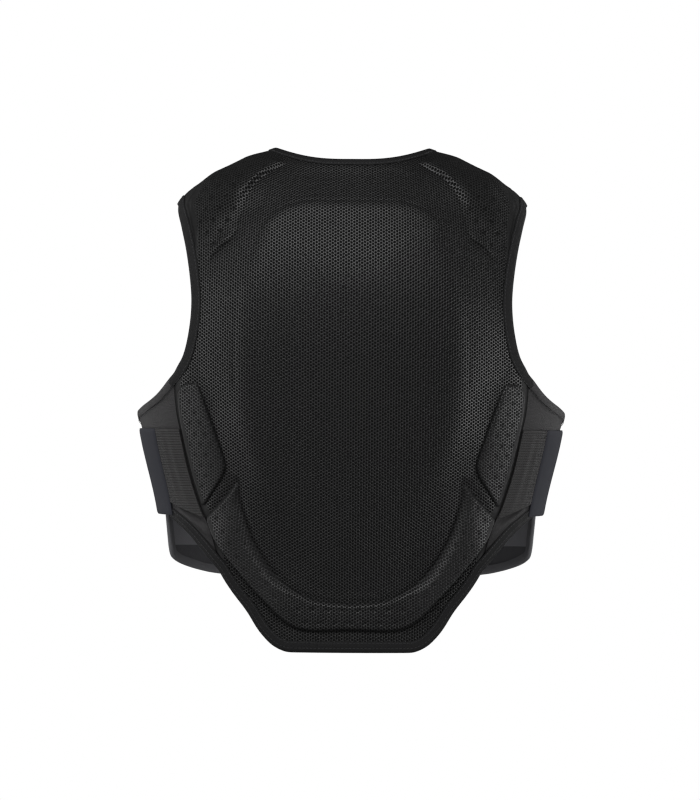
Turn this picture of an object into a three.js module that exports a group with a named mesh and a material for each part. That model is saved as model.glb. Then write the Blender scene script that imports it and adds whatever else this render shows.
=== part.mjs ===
// Motorcycle protective vest in its worn form: padded mesh back, raised pads, stretch sides, a plain front.
// Millimetres, +Z up. -Y is the wearer's back, +X the wearer's right.
// The origin lies midway between the shoulders, level with the inside of the neck points.
import * as THREE from "three";

// Walls, tapes and the gaps between sewn pieces.
const PADDED_WALL = 4;
const STRETCH_WALL = 2;
const ELASTIC_THICKNESS = 1.2;
const STRAP_THICKNESS = 2;
const TAPE = 1;
const TAPE_CLEARANCE = 0.7;
const TAPE_WIDTH = 10;
const NECK_TAPE_WIDTH = 7;
const TAPE_ROUND = 0.7;
const RIDGE_SEAM_GAP = 0.5;
const SIDE_SEAM_GAP = 1;
const LAY_GAP = 0.8;

// Neck opening: an ellipse in plan, cut straight down through the shoulders.
const NECK_HALF_WIDTH = 86;
const NECK_BACK = 68;
const NECK_FRONT = 84;
const NECK_STEPS = 7;

// Shoulder ridge, from the neck point to the shoulder tip.
const TIP_HALF_WIDTH = 190;
const RIDGE_STEPS = 6;
const TIP_CROWDING = 1.5;
const RIDGE_CROWDING = 2;
const YOKE_ROWS = 9;
const CHEST_HEIGHT = -200;

// Inside of the vest by height: half width, depth behind and before the side line, how square each half is.
const TORSO = [
  { z: -560, half: 190, back: 107, front: 92, squareBack: 2.3, squareFront: 2.9 },
  { z: -480, half: 200, back: 104, front: 94, squareBack: 2.3, squareFront: 2.9 },
  { z: -395, half: 211, back: 107, front: 97, squareBack: 2.3, squareFront: 2.9 },
  { z: -295, half: 232.5, back: 116, front: 104, squareBack: 2.35, squareFront: 2.8 },
  { z: -200, half: 232, back: 119, front: 107, squareBack: 2.35, squareFront: 2.6 },
  { z: -120, half: 217, back: 111, front: 101, squareBack: 2.2, squareFront: 2.3 },
  { z: -75, half: 202.5, back: 99, front: 90, squareBack: 2.05, squareFront: 2.1 },
  { z: -43, half: 177, back: 86, front: 77, squareBack: 2, squareFront: 2 },
  { z: -17, half: 128, back: 70, front: 62, squareBack: 2, squareFront: 2 },
  { z: 2, half: 86, back: 56, front: 49, squareBack: 2, squareFront: 2 },
  { z: 16, half: 56, back: 44, front: 38, squareBack: 2, squareFront: 2 },
];

// Heights where the side panels' seams start and end, and where the front panel's side edge gets its tape.
const BACK_SEAM_FOOT = -458;
const BACK_SEAM_HEAD = -246;
const FRONT_SEAM_HEAD = -296;
const FRONT_TAPE_HEAD = -386;

// Back panel's edge, a row for each section from the tail to the shoulder tip.
const BACK_EDGE = [
  { z: -545, half: 68 },
  { z: -541, half: 78 },
  { z: -528, half: 93 },
  { z: -502, half: 110.5 },
  { z: -478, half: 129 },
  { z: BACK_SEAM_FOOT, half: 141 },
  { z: -437, half: 146.5 },
  { z: -418, half: 152 },
  { z: -391, half: 163 },
  { z: -353, half: 175 },
  { z: -313, half: 184 },
  { z: -285, half: 190 },
  { z: BACK_SEAM_HEAD, half: 190 },
  { z: -229, half: 181 },
  { z: CHEST_HEIGHT, half: 174 },
  { z: -171, half: 171.5 },
  { z: -151, half: 172.5 },
  { z: -111, half: 178.5 },
  { z: -84, half: 185 },
  { z: -66, half: 190 },
  { z: -57.5, half: TIP_HALF_WIDTH },
];

// Front panel's edge in the same way. Sag is how far the middle of a section drops below its ends.
const FRONT_EDGE = [
  { z: -470, half: 167, sag: 15 },
  { z: -464, half: 184, sag: 11 },
  { z: -452, half: 196, sag: 8 },
  { z: -430, half: 202, sag: 5 },
  { z: FRONT_TAPE_HEAD, half: 208, sag: 1 },
  { z: -345, half: 215.5, sag: 0 },
  { z: -308, half: 222.5, sag: 0 },
  { z: FRONT_SEAM_HEAD, half: 224.5, sag: 0 },
  { z: -291, half: 221, sag: 0 },
  { z: -280, half: 211.5, sag: 0 },
  { z: -262, half: 196, sag: 0 },
  { z: -235, half: 176, sag: 0 },
  { z: CHEST_HEIGHT, half: 163, sag: 0 },
  { z: -170, half: 159, sag: 0 },
  { z: -140, half: 159, sag: 0 },
  { z: -110, half: 166, sag: 0 },
  { z: -84, half: 178, sag: 0 },
  { z: -66, half: 188, sag: 0 },
  { z: -57.5, half: TIP_HALF_WIDTH, sag: 0 },
];

// Stretch side panel: its lower and upper edge by share of the way from the back seam to the front panel.
const SIDE_EDGE = [
  { share: 0, foot: BACK_SEAM_FOOT, head: BACK_SEAM_HEAD },
  { share: 0.2, foot: -421, head: -270 },
  { share: 0.4, foot: -399, head: -285 },
  { share: 0.7, foot: -387, head: -293 },
  { share: 1, foot: -382, head: FRONT_SEAM_HEAD },
];
const SIDE_STEPS = 9;
const WEDGE_STOPS = 3;

// Elastic on the side panel and the waist strap that carries on from it. Angles run round from mid back.
const BELT_TOP = -306;
const ELASTIC_FOOT_SEAM = -402;
const ELASTIC_FOOT_SIDE = -387;
const STRAP_FOOT = -401;
const BELT_ROWS = 2;
const ELASTIC_START = 0.012;
const ELASTIC_END_ANGLE = 75.5;
const ELASTIC_STEPS = 4;
const STRAP_STEPS = 18;
const STRAP = [
  { angle: 75.9, lift: 4.6 },
  { angle: 92, lift: 4.9 },
  { angle: 100, lift: 6.6 },
  { angle: 109, lift: 6.6 },
  { angle: 120, lift: 5.4 },
  { angle: 139, lift: 4.9 },
];

// Back shield, the large foam plate: half width by height.
const SHIELD = [
  { z: -489, half: 26 },
  { z: -482, half: 49 },
  { z: -463, half: 73 },
  { z: -425, half: 100 },
  { z: -367, half: 120 },
  { z: -250, half: 124 },
  { z: -150, half: 121 },
  { z: -98, half: 108 },
  { z: -74, half: 86 },
  { z: -62, half: 54 },
];
const SHIELD_ROWS = 16;
const SHIELD_STEPS = 14;
const SHIELD_HEIGHT = 17;

// Lumbar pad, a smile-shaped band under the shield: inner and outer edge from its middle to its pointed tip.
const LUMBAR = [
  { station: 0, innerX: 0, innerZ: -494, outerX: 0, outerZ: -524 },
  { station: 1, innerX: 42, innerZ: -488.5, outerX: 58, outerZ: -522 },
  { station: 2, innerX: 78, innerZ: -466, outerX: 95, outerZ: -490 },
  { station: 3, innerX: 104.5, innerZ: -428, outerX: 130, outerZ: -449 },
  { station: 4, innerX: 117, innerZ: -396, outerX: 147, outerZ: -424 },
  { station: 5, innerX: 125, innerZ: -369, outerX: 155, outerZ: -399 },
];
const LUMBAR_STEPS = 20;
const LUMBAR_ROWS = 4;
const LUMBAR_HEIGHT = 9;

// Side pads beside the waist: inner and outer edge by height.
const SIDE_PAD = [
  { z: -389, inner: 157, outer: 161 },
  { z: -372, inner: 146.5, outer: 166 },
  { z: -357, inner: 137.5, outer: 171 },
  { z: -345, inner: 134.5, outer: 174 },
  { z: -332, inner: 138, outer: 177.5 },
  { z: -305, inner: 147, outer: 183.5 },
  { z: -279, inner: 156.5, outer: 187 },
  { z: -264, inner: 162, outer: 186 },
  { z: -256, inner: 166.5, outer: 178 },
];
const SIDE_PAD_ROWS = 9;
const SIDE_PAD_STEPS = 4;
const SIDE_PAD_HEIGHT = 10;

// Shoulder pads, laid over the ridge: inner and outer edge by angle from straight up, the back negative.
const SHOULDER_PAD = [
  { angle: -86, inner: 150, outer: 160 },
  { angle: -77, inner: 128, outer: 163 },
  { angle: -60, inner: 117, outer: 169 },
  { angle: -46, inner: 102, outer: 174 },
  { angle: -39, inner: 78, outer: 175 },
  { angle: -27, inner: 84, outer: 175 },
  { angle: 0, inner: 100, outer: 175 },
  { angle: 32, inner: 106, outer: 171 },
];
const SHOULDER_PAD_ROWS = 11;
const SHOULDER_PAD_STEPS = 6;
const SHOULDER_PAD_HEIGHT = 6;
const SHOULDER_AXIS_DROP = 100;

const PAD_EDGE = 1.6;

// How finely the torso's surface is searched.
const PROBE = 0.25;
const SEARCH_REACH = 400;
const HALVINGS = 40;
const SLOPE_STEPS = 6;
const SAME_HEIGHT = 0.01;

const MATERIALS = {
  mesh: { color: 0x2b2b2d, roughness: 0.85 },
  stretch: { color: 0x3b3b3c, roughness: 0.8 },
  elastic: { color: 0x414142, roughness: 0.85 },
  strap: { color: 0x383840, roughness: 0.75 },
  tape: { color: 0x252526, roughness: 0.7 },
};

const radians = THREE.MathUtils.degToRad;
const lerp = THREE.MathUtils.lerp;
const point = (x, y, z) => new THREE.Vector3(x, y, z);
const shares = (steps) => Array.from({ length: steps + 1 }, (_, step) => step / steps);

// A smooth curve through a table's rows: gives the other columns at any place along the key column.
function curveThrough(rows, key) {
  const columns = Object.keys(rows[0]).filter((name) => name !== key);
  const places = rows.map((row) => row[key]);
  const values = rows.flatMap((row) => columns.map((name) => row[name]));
  const curve = new THREE.CubicInterpolant(places, values, columns.length);
  return (place) => {
    const found = curve.evaluate(place);
    return Object.fromEntries(columns.map((name, index) => [name, found[index]]));
  };
}

const torso = curveThrough(TORSO, "z");
const backEdge = curveThrough(BACK_EDGE, "z");
const frontEdge = curveThrough(FRONT_EDGE, "z");
const sideEdge = curveThrough(SIDE_EDGE, "share");

// Under 1 inside the vest, 1 on its inner face and over 1 outside.
function fullness({ x, y, z }) {
  const section = torso(z);
  const depth = y < 0 ? section.back : section.front;
  const square = y < 0 ? section.squareBack : section.squareFront;
  return (Math.abs(x) / section.half) ** square + (Math.abs(y) / depth) ** square;
}

// Direction straight out of the torso at a point of its surface.
function outward(place) {
  const slope = (dx, dy, dz) => {
    const ahead = fullness(point(place.x + dx, place.y + dy, place.z + dz));
    return ahead - fullness(point(place.x - dx, place.y - dy, place.z - dz));
  };
  return point(slope(PROBE, 0, 0), slope(0, PROBE, 0), slope(0, 0, PROBE)).normalize();
}

const lifted = (place, distance) => place.clone().addScaledVector(outward(place), distance);

// Walks from a place inside the torso towards a direction until it meets the inner face of the vest.
function cast(from, direction) {
  let near = 0;
  let far = SEARCH_REACH;
  for (let halving = 0; halving < HALVINGS; halving += 1) {
    const middle = (near + far) / 2;
    if (fullness(from.clone().addScaledVector(direction, middle)) < 1) near = middle;
    else far = middle;
  }
  return from.clone().addScaledVector(direction, near);
}

const UP = point(0, 0, 1);
const onBack = (x, z) => cast(point(x, 0, z), point(0, -1, 0));
const onFront = (x, z) => cast(point(x, 0, z), point(0, 1, 0));
const fromAbove = (x, y) => cast(point(x, y, CHEST_HEIGHT), UP);
const aroundWaist = (angle, z) => cast(point(0, 0, z), point(Math.sin(angle), -Math.cos(angle), 0));
const angleOf = (place) => Math.atan2(place.x, -place.y);

function overShoulder(x, angle) {
  const axis = point(x, 0, fromAbove(x, 0).z - SHOULDER_AXIS_DROP);
  return cast(axis, point(0, Math.sin(angle), Math.cos(angle)));
}

// Closed solid from four-sided faces, each split along its shorter diagonal, turned so that they point out.
function solid(corners, quads, caps = []) {
  const span = (a, b) => corners[a].distanceTo(corners[b]);
  const faces = [...caps];
  for (const [a, b, c, d] of quads) {
    if (span(a, c) < span(b, d)) faces.push(a, b, c, a, c, d);
    else faces.push(a, b, d, b, c, d);
  }
  const geometry = new THREE.BufferGeometry();
  const numbers = corners.flatMap((place) => place.toArray());
  geometry.setAttribute("position", new THREE.Float32BufferAttribute(numbers, 3));
  let volume = 0;
  for (let i = 0; i < faces.length; i += 3) {
    const [a, b, c] = [corners[faces[i]], corners[faces[i + 1]], corners[faces[i + 2]]];
    volume += a.dot(b.clone().cross(c));
  }
  geometry.setIndex(volume < 0 ? faces.toReversed() : faces);
  geometry.computeVertexNormals();
  return geometry;
}

// Wall over a grid of torso points: two faces at the given distances from it, closed along the four edges.
function wall(grid, innerAt, outerAt) {
  const rows = grid.length;
  const columns = grid[0].length;
  const layer = (distanceAt) => {
    return grid.flatMap((line, r) => line.map((place, c) => lifted(place, distanceAt(r, c))));
  };
  const inner = (r, c) => r * columns + c;
  const outer = (r, c) => (rows + r) * columns + c;
  const quads = [];
  const quad = (...turn) => quads.push(turn);
  for (let r = 0; r + 1 < rows; r += 1) {
    for (let c = 0; c + 1 < columns; c += 1) {
      quad(outer(r, c), outer(r, c + 1), outer(r + 1, c + 1), outer(r + 1, c));
      quad(inner(r, c), inner(r + 1, c), inner(r + 1, c + 1), inner(r, c + 1));
    }
    quad(inner(r, 0), outer(r, 0), outer(r + 1, 0), inner(r + 1, 0));
    quad(outer(r, columns - 1), inner(r, columns - 1), inner(r + 1, columns - 1), outer(r + 1, columns - 1));
  }
  for (let c = 0; c + 1 < columns; c += 1) {
    quad(inner(0, c), inner(0, c + 1), outer(0, c + 1), outer(0, c));
    quad(outer(rows - 1, c), outer(rows - 1, c + 1), inner(rows - 1, c + 1), inner(rows - 1, c));
  }
  return solid([...layer(innerAt), ...layer(outerAt)], quads);
}

const evenWall = (grid, thickness) => wall(grid, () => 0, () => thickness);

// Foam pad lying on a padded wall: thin at its border, full inside.
function pad(grid, height) {
  const rows = grid.length - 1;
  const columns = grid[0].length - 1;
  const foot = PADDED_WALL + LAY_GAP;
  const swell = (step, steps) => Math.sqrt(Math.sin((Math.PI * step) / steps));
  const rise = (r, c) => PAD_EDGE + (height - PAD_EDGE) * swell(r, rows) * swell(c, columns);
  return wall(grid, () => foot, (r, c) => foot + rise(r, c));
}

// Columns of a front or back panel along its top: the neck's edge, then the shoulder ridge.
function topColumns(neckDepth, seamY) {
  const neck = shares(NECK_STEPS).map((share) => {
    const turn = (share * Math.PI) / 2;
    return { x: NECK_HALF_WIDTH * Math.sin(turn), y: neckDepth * Math.cos(turn) + seamY };
  });
  const ridge = shares(RIDGE_STEPS).slice(1).map((share) => {
    const run = 1 - (1 - share) ** TIP_CROWDING;
    return { x: lerp(NECK_HALF_WIDTH, TIP_HALF_WIDTH, run), y: seamY };
  });
  const half = [...neck, ...ridge];
  return [...half.slice(1).reverse().map(({ x, y }) => ({ x: -x, y })), ...half];
}

// Grid of a front or back panel: sections up to the chest, then rows that lift towards neck and ridge.
function panelGrid(edge, edgeAt, columns, onFace) {
  const top = columns.map(({ x, y }) => fromAbove(x, y));
  const lower = edge.filter(({ z }) => z <= CHEST_HEIGHT).map(({ z, half, sag = 0 }) => {
    return top.map(({ x }) => {
      const across = x / TIP_HALF_WIDTH;
      return onFace(across * half, z - sag * (1 - across ** 2));
    });
  });
  const tipHeight = edge.at(-1).z;
  const yoke = shares(YOKE_ROWS).slice(1, -1).map((share) => {
    const climb = 1 - (1 - share) ** RIDGE_CROWDING;
    const half = edgeAt(lerp(CHEST_HEIGHT, tipHeight, climb)).half;
    return top.map(({ x, z }) => onFace((x / TIP_HALF_WIDTH) * half, lerp(CHEST_HEIGHT, z, climb)));
  });
  return [...lower, ...yoke, top];
}

const backGrid = panelGrid(BACK_EDGE, backEdge, topColumns(-NECK_BACK, -RIDGE_SEAM_GAP / 2), onBack);
const frontGrid = panelGrid(FRONT_EDGE, frontEdge, topColumns(NECK_FRONT, RIDGE_SEAM_GAP / 2), onFront);

// Angles round the waist of the two edges that the side panel joins, a seam's gap inside them.
function sideSpan(z) {
  const back = onBack(backEdge(z).half, z);
  const front = onFront(frontEdge(z).half, z);
  const gapAngle = (place) => SIDE_SEAM_GAP / Math.hypot(place.x, place.y);
  return { start: angleOf(back) + gapAngle(back), end: angleOf(front) - gapAngle(front) };
}

function onSide(share, z) {
  const { start, end } = sideSpan(z);
  return aroundWaist(lerp(start, end, share), z);
}

// Side panel's rows follow the back panel's sections, so that both edges of the seam have the same corners.
function sideGrid() {
  const seam = BACK_EDGE.filter(({ z }) => z >= BACK_SEAM_FOOT && z <= BACK_SEAM_HEAD);
  return seam.map(({ z: seamHeight }) => {
    const climb = (seamHeight - BACK_SEAM_FOOT) / (BACK_SEAM_HEAD - BACK_SEAM_FOOT);
    return shares(SIDE_STEPS).map((share) => {
      const { foot, head } = sideEdge(share);
      return onSide(share, lerp(foot, head, climb));
    });
  });
}

// Elastic band from the back seam to the start of the strap, on the side panel.
function elasticGrid() {
  return shares(BELT_ROWS).map((climb) => {
    return shares(ELASTIC_STEPS).map((share) => {
      const z = lerp(lerp(ELASTIC_FOOT_SEAM, ELASTIC_FOOT_SIDE, share), BELT_TOP, climb);
      const { start, end } = sideSpan(z);
      return aroundWaist(lerp(lerp(start, end, ELASTIC_START), radians(ELASTIC_END_ANGLE), share), z);
    });
  });
}

// Waist strap from the end of the elastic round the side to the front panel.
function strapGrid() {
  const first = radians(STRAP[0].angle);
  const last = radians(STRAP.at(-1).angle);
  return shares(BELT_ROWS).map((climb) => {
    const z = lerp(STRAP_FOOT, BELT_TOP, climb);
    return shares(STRAP_STEPS).map((share) => aroundWaist(lerp(first, last, share), z));
  });
}

function strapGeometry() {
  const liftAt = curveThrough(STRAP, "angle");
  const lift = (r, c) => liftAt(lerp(STRAP[0].angle, STRAP.at(-1).angle, c / STRAP_STEPS)).lift;
  return wall(strapGrid(), lift, (r, c) => lift(r, c) + STRAP_THICKNESS);
}

function elasticGeometry() {
  const foot = STRETCH_WALL + LAY_GAP;
  return wall(elasticGrid(), () => foot, () => foot + ELASTIC_THICKNESS);
}

function shieldGrid() {
  const outline = curveThrough(SHIELD, "z");
  return shares(SHIELD_ROWS).map((climb) => {
    const z = lerp(SHIELD[0].z, SHIELD.at(-1).z, (1 - Math.cos(Math.PI * climb)) / 2);
    return shares(SHIELD_STEPS).map((share) => onBack(lerp(-1, 1, share) * outline(z).half, z));
  });
}

function lumbarGrid() {
  const outline = curveThrough(LUMBAR, "station");
  const tip = LUMBAR.at(-1).station;
  return shares(LUMBAR_ROWS).map((across) => {
    return shares(LUMBAR_STEPS).map((share) => {
      const along = lerp(-tip, tip, share);
      const { innerX, innerZ, outerX, outerZ } = outline(Math.abs(along));
      return onBack(Math.sign(along) * lerp(innerX, outerX, across), lerp(innerZ, outerZ, across));
    });
  });
}

// Pad between an inner and an outer edge, whose table runs along the key column.
function stripGrid(table, key, rows, steps, placeAt) {
  const outline = curveThrough(table, key);
  return shares(rows).map((climb) => {
    const along = lerp(table[0][key], table.at(-1)[key], climb);
    const { inner, outer } = outline(along);
    return shares(steps).map((share) => placeAt(lerp(inner, outer, share), along));
  });
}

// Nearest place on the torso, by a few steps along its slope.
function ontoTorso(place) {
  const found = place.clone();
  for (let step = 0; step < SLOPE_STEPS; step += 1) {
    const way = outward(found);
    const ahead = fullness(found.clone().addScaledVector(way, PROBE));
    const behind = fullness(found.clone().addScaledVector(way, -PROBE));
    found.addScaledVector(way, (2 * PROBE * (1 - fullness(found))) / (ahead - behind));
  }
  return found;
}

// Tape folded over an edge. Each stop of the edge has a place on the torso and the wall's thickness there.
function foldedTape(stops, inside, closed, width = TAPE_WIDTH) {
  const count = stops.length;
  const held = (index) => THREE.MathUtils.clamp(index, 0, count - 1);
  const stopAt = (index) => stops[closed ? (index + count) % count : held(index)].place;
  const frames = stops.map(({ place }, index) => {
    const along = stopAt(index + 1).clone().sub(stopAt(index - 1));
    return { place, inward: outward(place).cross(along).normalize() };
  });
  const turned = frames[0].inward.dot(inside.clone().sub(frames[0].place)) < 0 ? -1 : 1;
  const rings = frames.map(({ place, inward }, index) => {
    const reach = (distance) => place.clone().addScaledVector(inward, turned * distance);
    const normal = outward(place);
    const flange = ontoTorso(reach(width));
    const wallAt = stops[index].thickness;
    const over = wallAt + TAPE_CLEARANCE;
    const under = -TAPE_CLEARANCE;
    const fold = (distance, height) => reach(-distance).addScaledVector(normal, height);
    return [
      lifted(flange, over + TAPE),
      fold(TAPE_CLEARANCE, over + TAPE),
      fold(TAPE_CLEARANCE + TAPE + TAPE_ROUND, wallAt / 2),
      fold(TAPE_CLEARANCE, under - TAPE),
      lifted(flange, under - TAPE),
      lifted(flange, under),
      fold(TAPE_CLEARANCE, under),
      fold(TAPE_CLEARANCE, over),
      lifted(flange, over),
    ];
  });
  return sweptRings(rings, closed);
}

// Closed solid through rings of corners. An open run gets a cap at each end.
function sweptRings(rings, closed) {
  const around = rings[0].length;
  const corner = (ring, side) => (ring % rings.length) * around + (side % around);
  const quads = [];
  const caps = [];
  for (let ring = 0; ring < rings.length - (closed ? 0 : 1); ring += 1) {
    for (let side = 0; side < around; side += 1) {
      const near = [corner(ring, side), corner(ring, side + 1)];
      quads.push([...near, corner(ring + 1, side + 1), corner(ring + 1, side)]);
    }
  }
  if (!closed) {
    const last = rings.length - 1;
    for (const cap of capFaces(rings[0])) caps.push(...cap.toReversed());
    for (const cap of capFaces(rings[last])) caps.push(...cap.map((side) => corner(last, side)));
  }
  return solid(rings.flat(), quads, caps);
}

// Triangles over a flat ring, wound the way that the ring runs.
function capFaces(ring) {
  const across = ring[0].clone().sub(ring[1]).normalize();
  const up = ring[1].clone().sub(ring[3]).normalize();
  const flat = ring.map((c) => new THREE.Vector2(c.dot(across), c.dot(up)));
  const runsBack = THREE.ShapeUtils.isClockWise(flat);
  const faces = THREE.ShapeUtils.triangulateShape(flat, []);
  return faces.map(([a, b, c]) => {
    const turn = flat[b].clone().sub(flat[a]).cross(flat[c].clone().sub(flat[a]));
    return turn > 0 === runsBack ? [a, c, b] : [a, b, c];
  });
}

const stopsAlong = (places, thickness) => places.map((place) => ({ place, thickness }));
const mirrored = (place) => point(-place.x, place.y, place.z);
const columnOf = (grid, column) => grid.map((line) => line.at(column));
const heightBetween = (low, high) => ({ z }) => z > low - SAME_HEIGHT && z < high + SAME_HEIGHT;

function neckTape() {
  const neckColumns = (grid) => grid.at(-1).slice(RIDGE_STEPS, -RIDGE_STEPS);
  const behind = neckColumns(backGrid);
  const before = neckColumns(frontGrid).slice(1, -1).reverse();
  const stops = stopsAlong([...behind, ...before], PADDED_WALL);
  return foldedTape(stops, backGrid[0][RIDGE_STEPS], true, NECK_TAPE_WIDTH);
}

// Edge of the right armhole: down the back panel, round the side panel's head and up the front panel.
function armholeTape(side) {
  const behind = columnOf(backGrid, -1).filter(heightBetween(BACK_SEAM_HEAD, 0)).reverse();
  const under = side.at(-1).slice(1, -1);
  const nearSeam = (index) => index === 0 || index === under.length - 1;
  const before = columnOf(frontGrid, -1).filter(heightBetween(FRONT_SEAM_HEAD, 0)).slice(0, -1);
  const stops = [
    ...stopsAlong(behind, PADDED_WALL),
    ...under.map((place, index) => ({ place, thickness: nearSeam(index) ? PADDED_WALL : STRETCH_WALL })),
    ...stopsAlong(before, PADDED_WALL),
  ];
  return foldedTape(stops, point(0, 0, behind[0].z), true);
}

// Hem of the back and the sides: from one side panel's front corner, round the tail, to the other.
function hemTape(side) {
  const tail = columnOf(backGrid, -1).filter(({ z }) => z < BACK_SEAM_FOOT - SAME_HEIGHT).reverse();
  const wing = side[0].toReversed();
  const wedge = wing.splice(-WEDGE_STOPS);
  const half = [
    ...stopsAlong(wing, STRETCH_WALL),
    ...stopsAlong(wedge, PADDED_WALL),
    ...stopsAlong(tail, PADDED_WALL),
  ];
  const bottom = stopsAlong(backGrid[0].slice(1, -1).reverse(), PADDED_WALL);
  const otherHalf = half.map(({ place, thickness }) => ({ place: mirrored(place), thickness })).reverse();
  return foldedTape([...half, ...bottom, ...otherHalf], side.at(-1).at(-1), false);
}

// Hem of the front panel with its rounded lower corners and the free part of its side edges.
function frontHemTape() {
  const edge = columnOf(frontGrid, -1).filter(heightBetween(FRONT_EDGE[0].z, FRONT_TAPE_HEAD)).reverse();
  const bottom = frontGrid[0].slice(1, -1).reverse();
  const places = [...edge, ...bottom, ...edge.map(mirrored).reverse()];
  return foldedTape(stopsAlong(places, PADDED_WALL), point(0, edge[0].y, edge[0].z), false);
}

function piece(name, geometry, materialName) {
  const material = new THREE.MeshStandardMaterial({ ...MATERIALS[materialName], metalness: 0 });
  const mesh = new THREE.Mesh(geometry, material);
  mesh.name = name;
  return mesh;
}

// What the vest has once on each side. The left side is the right one mirrored.
function sidePieces(label) {
  const side = sideGrid();
  const shoulderPlace = (x, angle) => overShoulder(x, radians(angle));
  const shoulder = stripGrid(SHOULDER_PAD, "angle", SHOULDER_PAD_ROWS, SHOULDER_PAD_STEPS, shoulderPlace);
  const waist = stripGrid(SIDE_PAD, "z", SIDE_PAD_ROWS, SIDE_PAD_STEPS, onBack);
  const group = new THREE.Group();
  group.add(
    piece(`side_panel_${label}`, evenWall(side, STRETCH_WALL), "stretch"),
    piece(`side_elastic_${label}`, elasticGeometry(), "elastic"),
    piece(`waist_strap_${label}`, strapGeometry(), "strap"),
    piece(`shoulder_pad_${label}`, pad(shoulder, SHOULDER_PAD_HEIGHT), "mesh"),
    piece(`side_pad_${label}`, pad(waist, SIDE_PAD_HEIGHT), "mesh"),
    piece(`armhole_binding_${label}`, armholeTape(side), "tape"),
  );
  return group;
}

const right = sidePieces("right");
const left = sidePieces("left");
left.scale.x = -1;

const vest = new THREE.Group();
vest.add(
  piece("back_panel", evenWall(backGrid, PADDED_WALL), "mesh"),
  piece("front_panel", evenWall(frontGrid, PADDED_WALL), "stretch"),
  piece("back_shield", pad(shieldGrid(), SHIELD_HEIGHT), "mesh"),
  piece("lumbar_pad", pad(lumbarGrid(), LUMBAR_HEIGHT), "mesh"),
  piece("neck_binding", neckTape(), "tape"),
  piece("hem_binding", hemTape(sideGrid()), "tape"),
  piece("front_hem_binding", frontHemTape(), "tape"),
  right,
  left,
);

export default vest;
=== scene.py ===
import math

import bpy
import numpy as np
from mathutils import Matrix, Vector, kdtree


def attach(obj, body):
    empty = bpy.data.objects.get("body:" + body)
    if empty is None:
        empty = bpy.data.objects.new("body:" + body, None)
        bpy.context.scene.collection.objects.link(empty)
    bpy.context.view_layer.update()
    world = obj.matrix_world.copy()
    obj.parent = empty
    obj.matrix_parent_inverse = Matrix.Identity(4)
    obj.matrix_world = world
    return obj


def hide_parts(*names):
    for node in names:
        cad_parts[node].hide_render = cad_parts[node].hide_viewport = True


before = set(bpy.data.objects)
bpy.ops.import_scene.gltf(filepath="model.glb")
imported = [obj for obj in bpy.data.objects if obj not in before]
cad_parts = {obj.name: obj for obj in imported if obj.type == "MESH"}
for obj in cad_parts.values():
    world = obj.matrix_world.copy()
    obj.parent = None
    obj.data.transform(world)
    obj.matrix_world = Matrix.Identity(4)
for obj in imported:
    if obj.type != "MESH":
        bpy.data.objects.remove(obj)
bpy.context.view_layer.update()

bl_info = {
    "name": "Protective Vest",
    "version": (1, 0, 0),
    "blender": (4, 5, 0),
    "location": "3D View > Sidebar > Vest",
    "description": "Dresses the solids of a protective vest in mesh, foam, stretch cloth and tape",
    "category": "Add Mesh",
}

MM = 0.001
SIDES = {"left": -1, "right": 1}

# Cut of the vest in millimetres. -Y is the wearer's back, +X the wearer's right, +Z up.
# Inside by height: half width, depth behind and before the side line, how square each half is.
TORSO = np.array([
    (-560, 190, 107, 92, 2.3, 2.9),
    (-480, 200, 104, 94, 2.3, 2.9),
    (-395, 211, 107, 97, 2.3, 2.9),
    (-295, 232.5, 116, 104, 2.35, 2.8),
    (-200, 232, 119, 107, 2.35, 2.6),
    (-120, 217, 111, 101, 2.2, 2.3),
    (-75, 202.5, 99, 90, 2.05, 2.1),
    (-43, 179.5, 86, 77, 2, 2),
    (-17, 128.5, 70, 62, 2, 2),
    (2, 90, 56, 49, 2, 2),
    (16, 56, 44, 38, 2, 2),
])

# Back panel's edge: height and half width.
BACK_EDGE = np.array([
    (-545, 68), (-541, 78), (-528, 93), (-502, 110.5), (-478, 129), (-458, 141), (-437, 146.5),
    (-418, 152), (-391, 163), (-353, 175), (-313, 184), (-285, 190), (-246, 190), (-229, 181),
    (-200, 174), (-171, 171.5), (-151, 172.5), (-111, 178.5), (-84, 185), (-66, 190), (-57.5, 190),
])

# Front panel's edge: height, half width, and how far the middle of the row sags below its ends.
FRONT_EDGE = np.array([
    (-470, 161, 14), (-465.5, 176.5, 12), (-459, 191, 10), (-452, 199, 8), (-443, 201.5, 6.5),
    (-430, 203, 5), (-386, 208, 1), (-345, 215.5, 0), (-308, 222.5, 0), (-296, 224.5, 0), (-291, 221, 0),
    (-280, 211.5, 0), (-262, 196, 0), (-235, 176, 0), (-200, 163, 0), (-170, 159, 0), (-140, 159, 0),
    (-110, 166, 0), (-84, 178, 0), (-66, 188, 0), (-57.5, 190, 0),
])

# Side panel: lower and upper edge by share of the way from the back seam to the front panel.
SIDE_EDGE = np.array([
    (0, -458, -246), (0.067, -445, -260), (0.126, -434, -268.5), (0.23, -416, -277), (0.45, -396, -285.5),
    (0.7, -387, -292), (1, -382, -296),
])
BACK_SEAM_FOOT, BACK_SEAM_HEAD = -458, -246
FRONT_SEAM_HEAD, FRONT_TAPE_HEAD, FACING_TOP = -296, -386, -441
# Its head stands off by the flare, and is bound with its own cloth between two depths.
HEAD_FLARE, HEAD_FLARE_WIDTH, OWN_CLOTH_BACK, OWN_CLOTH_FRONT = 3.2, 14, -78, 40

NECK_HALF, NECK_BACK, NECK_FRONT, NECK_SQUARE = 86, 67.5, 84, 2.3
TIP_HALF, TIP_TOP, CHEST = 190, -58, -200

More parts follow.
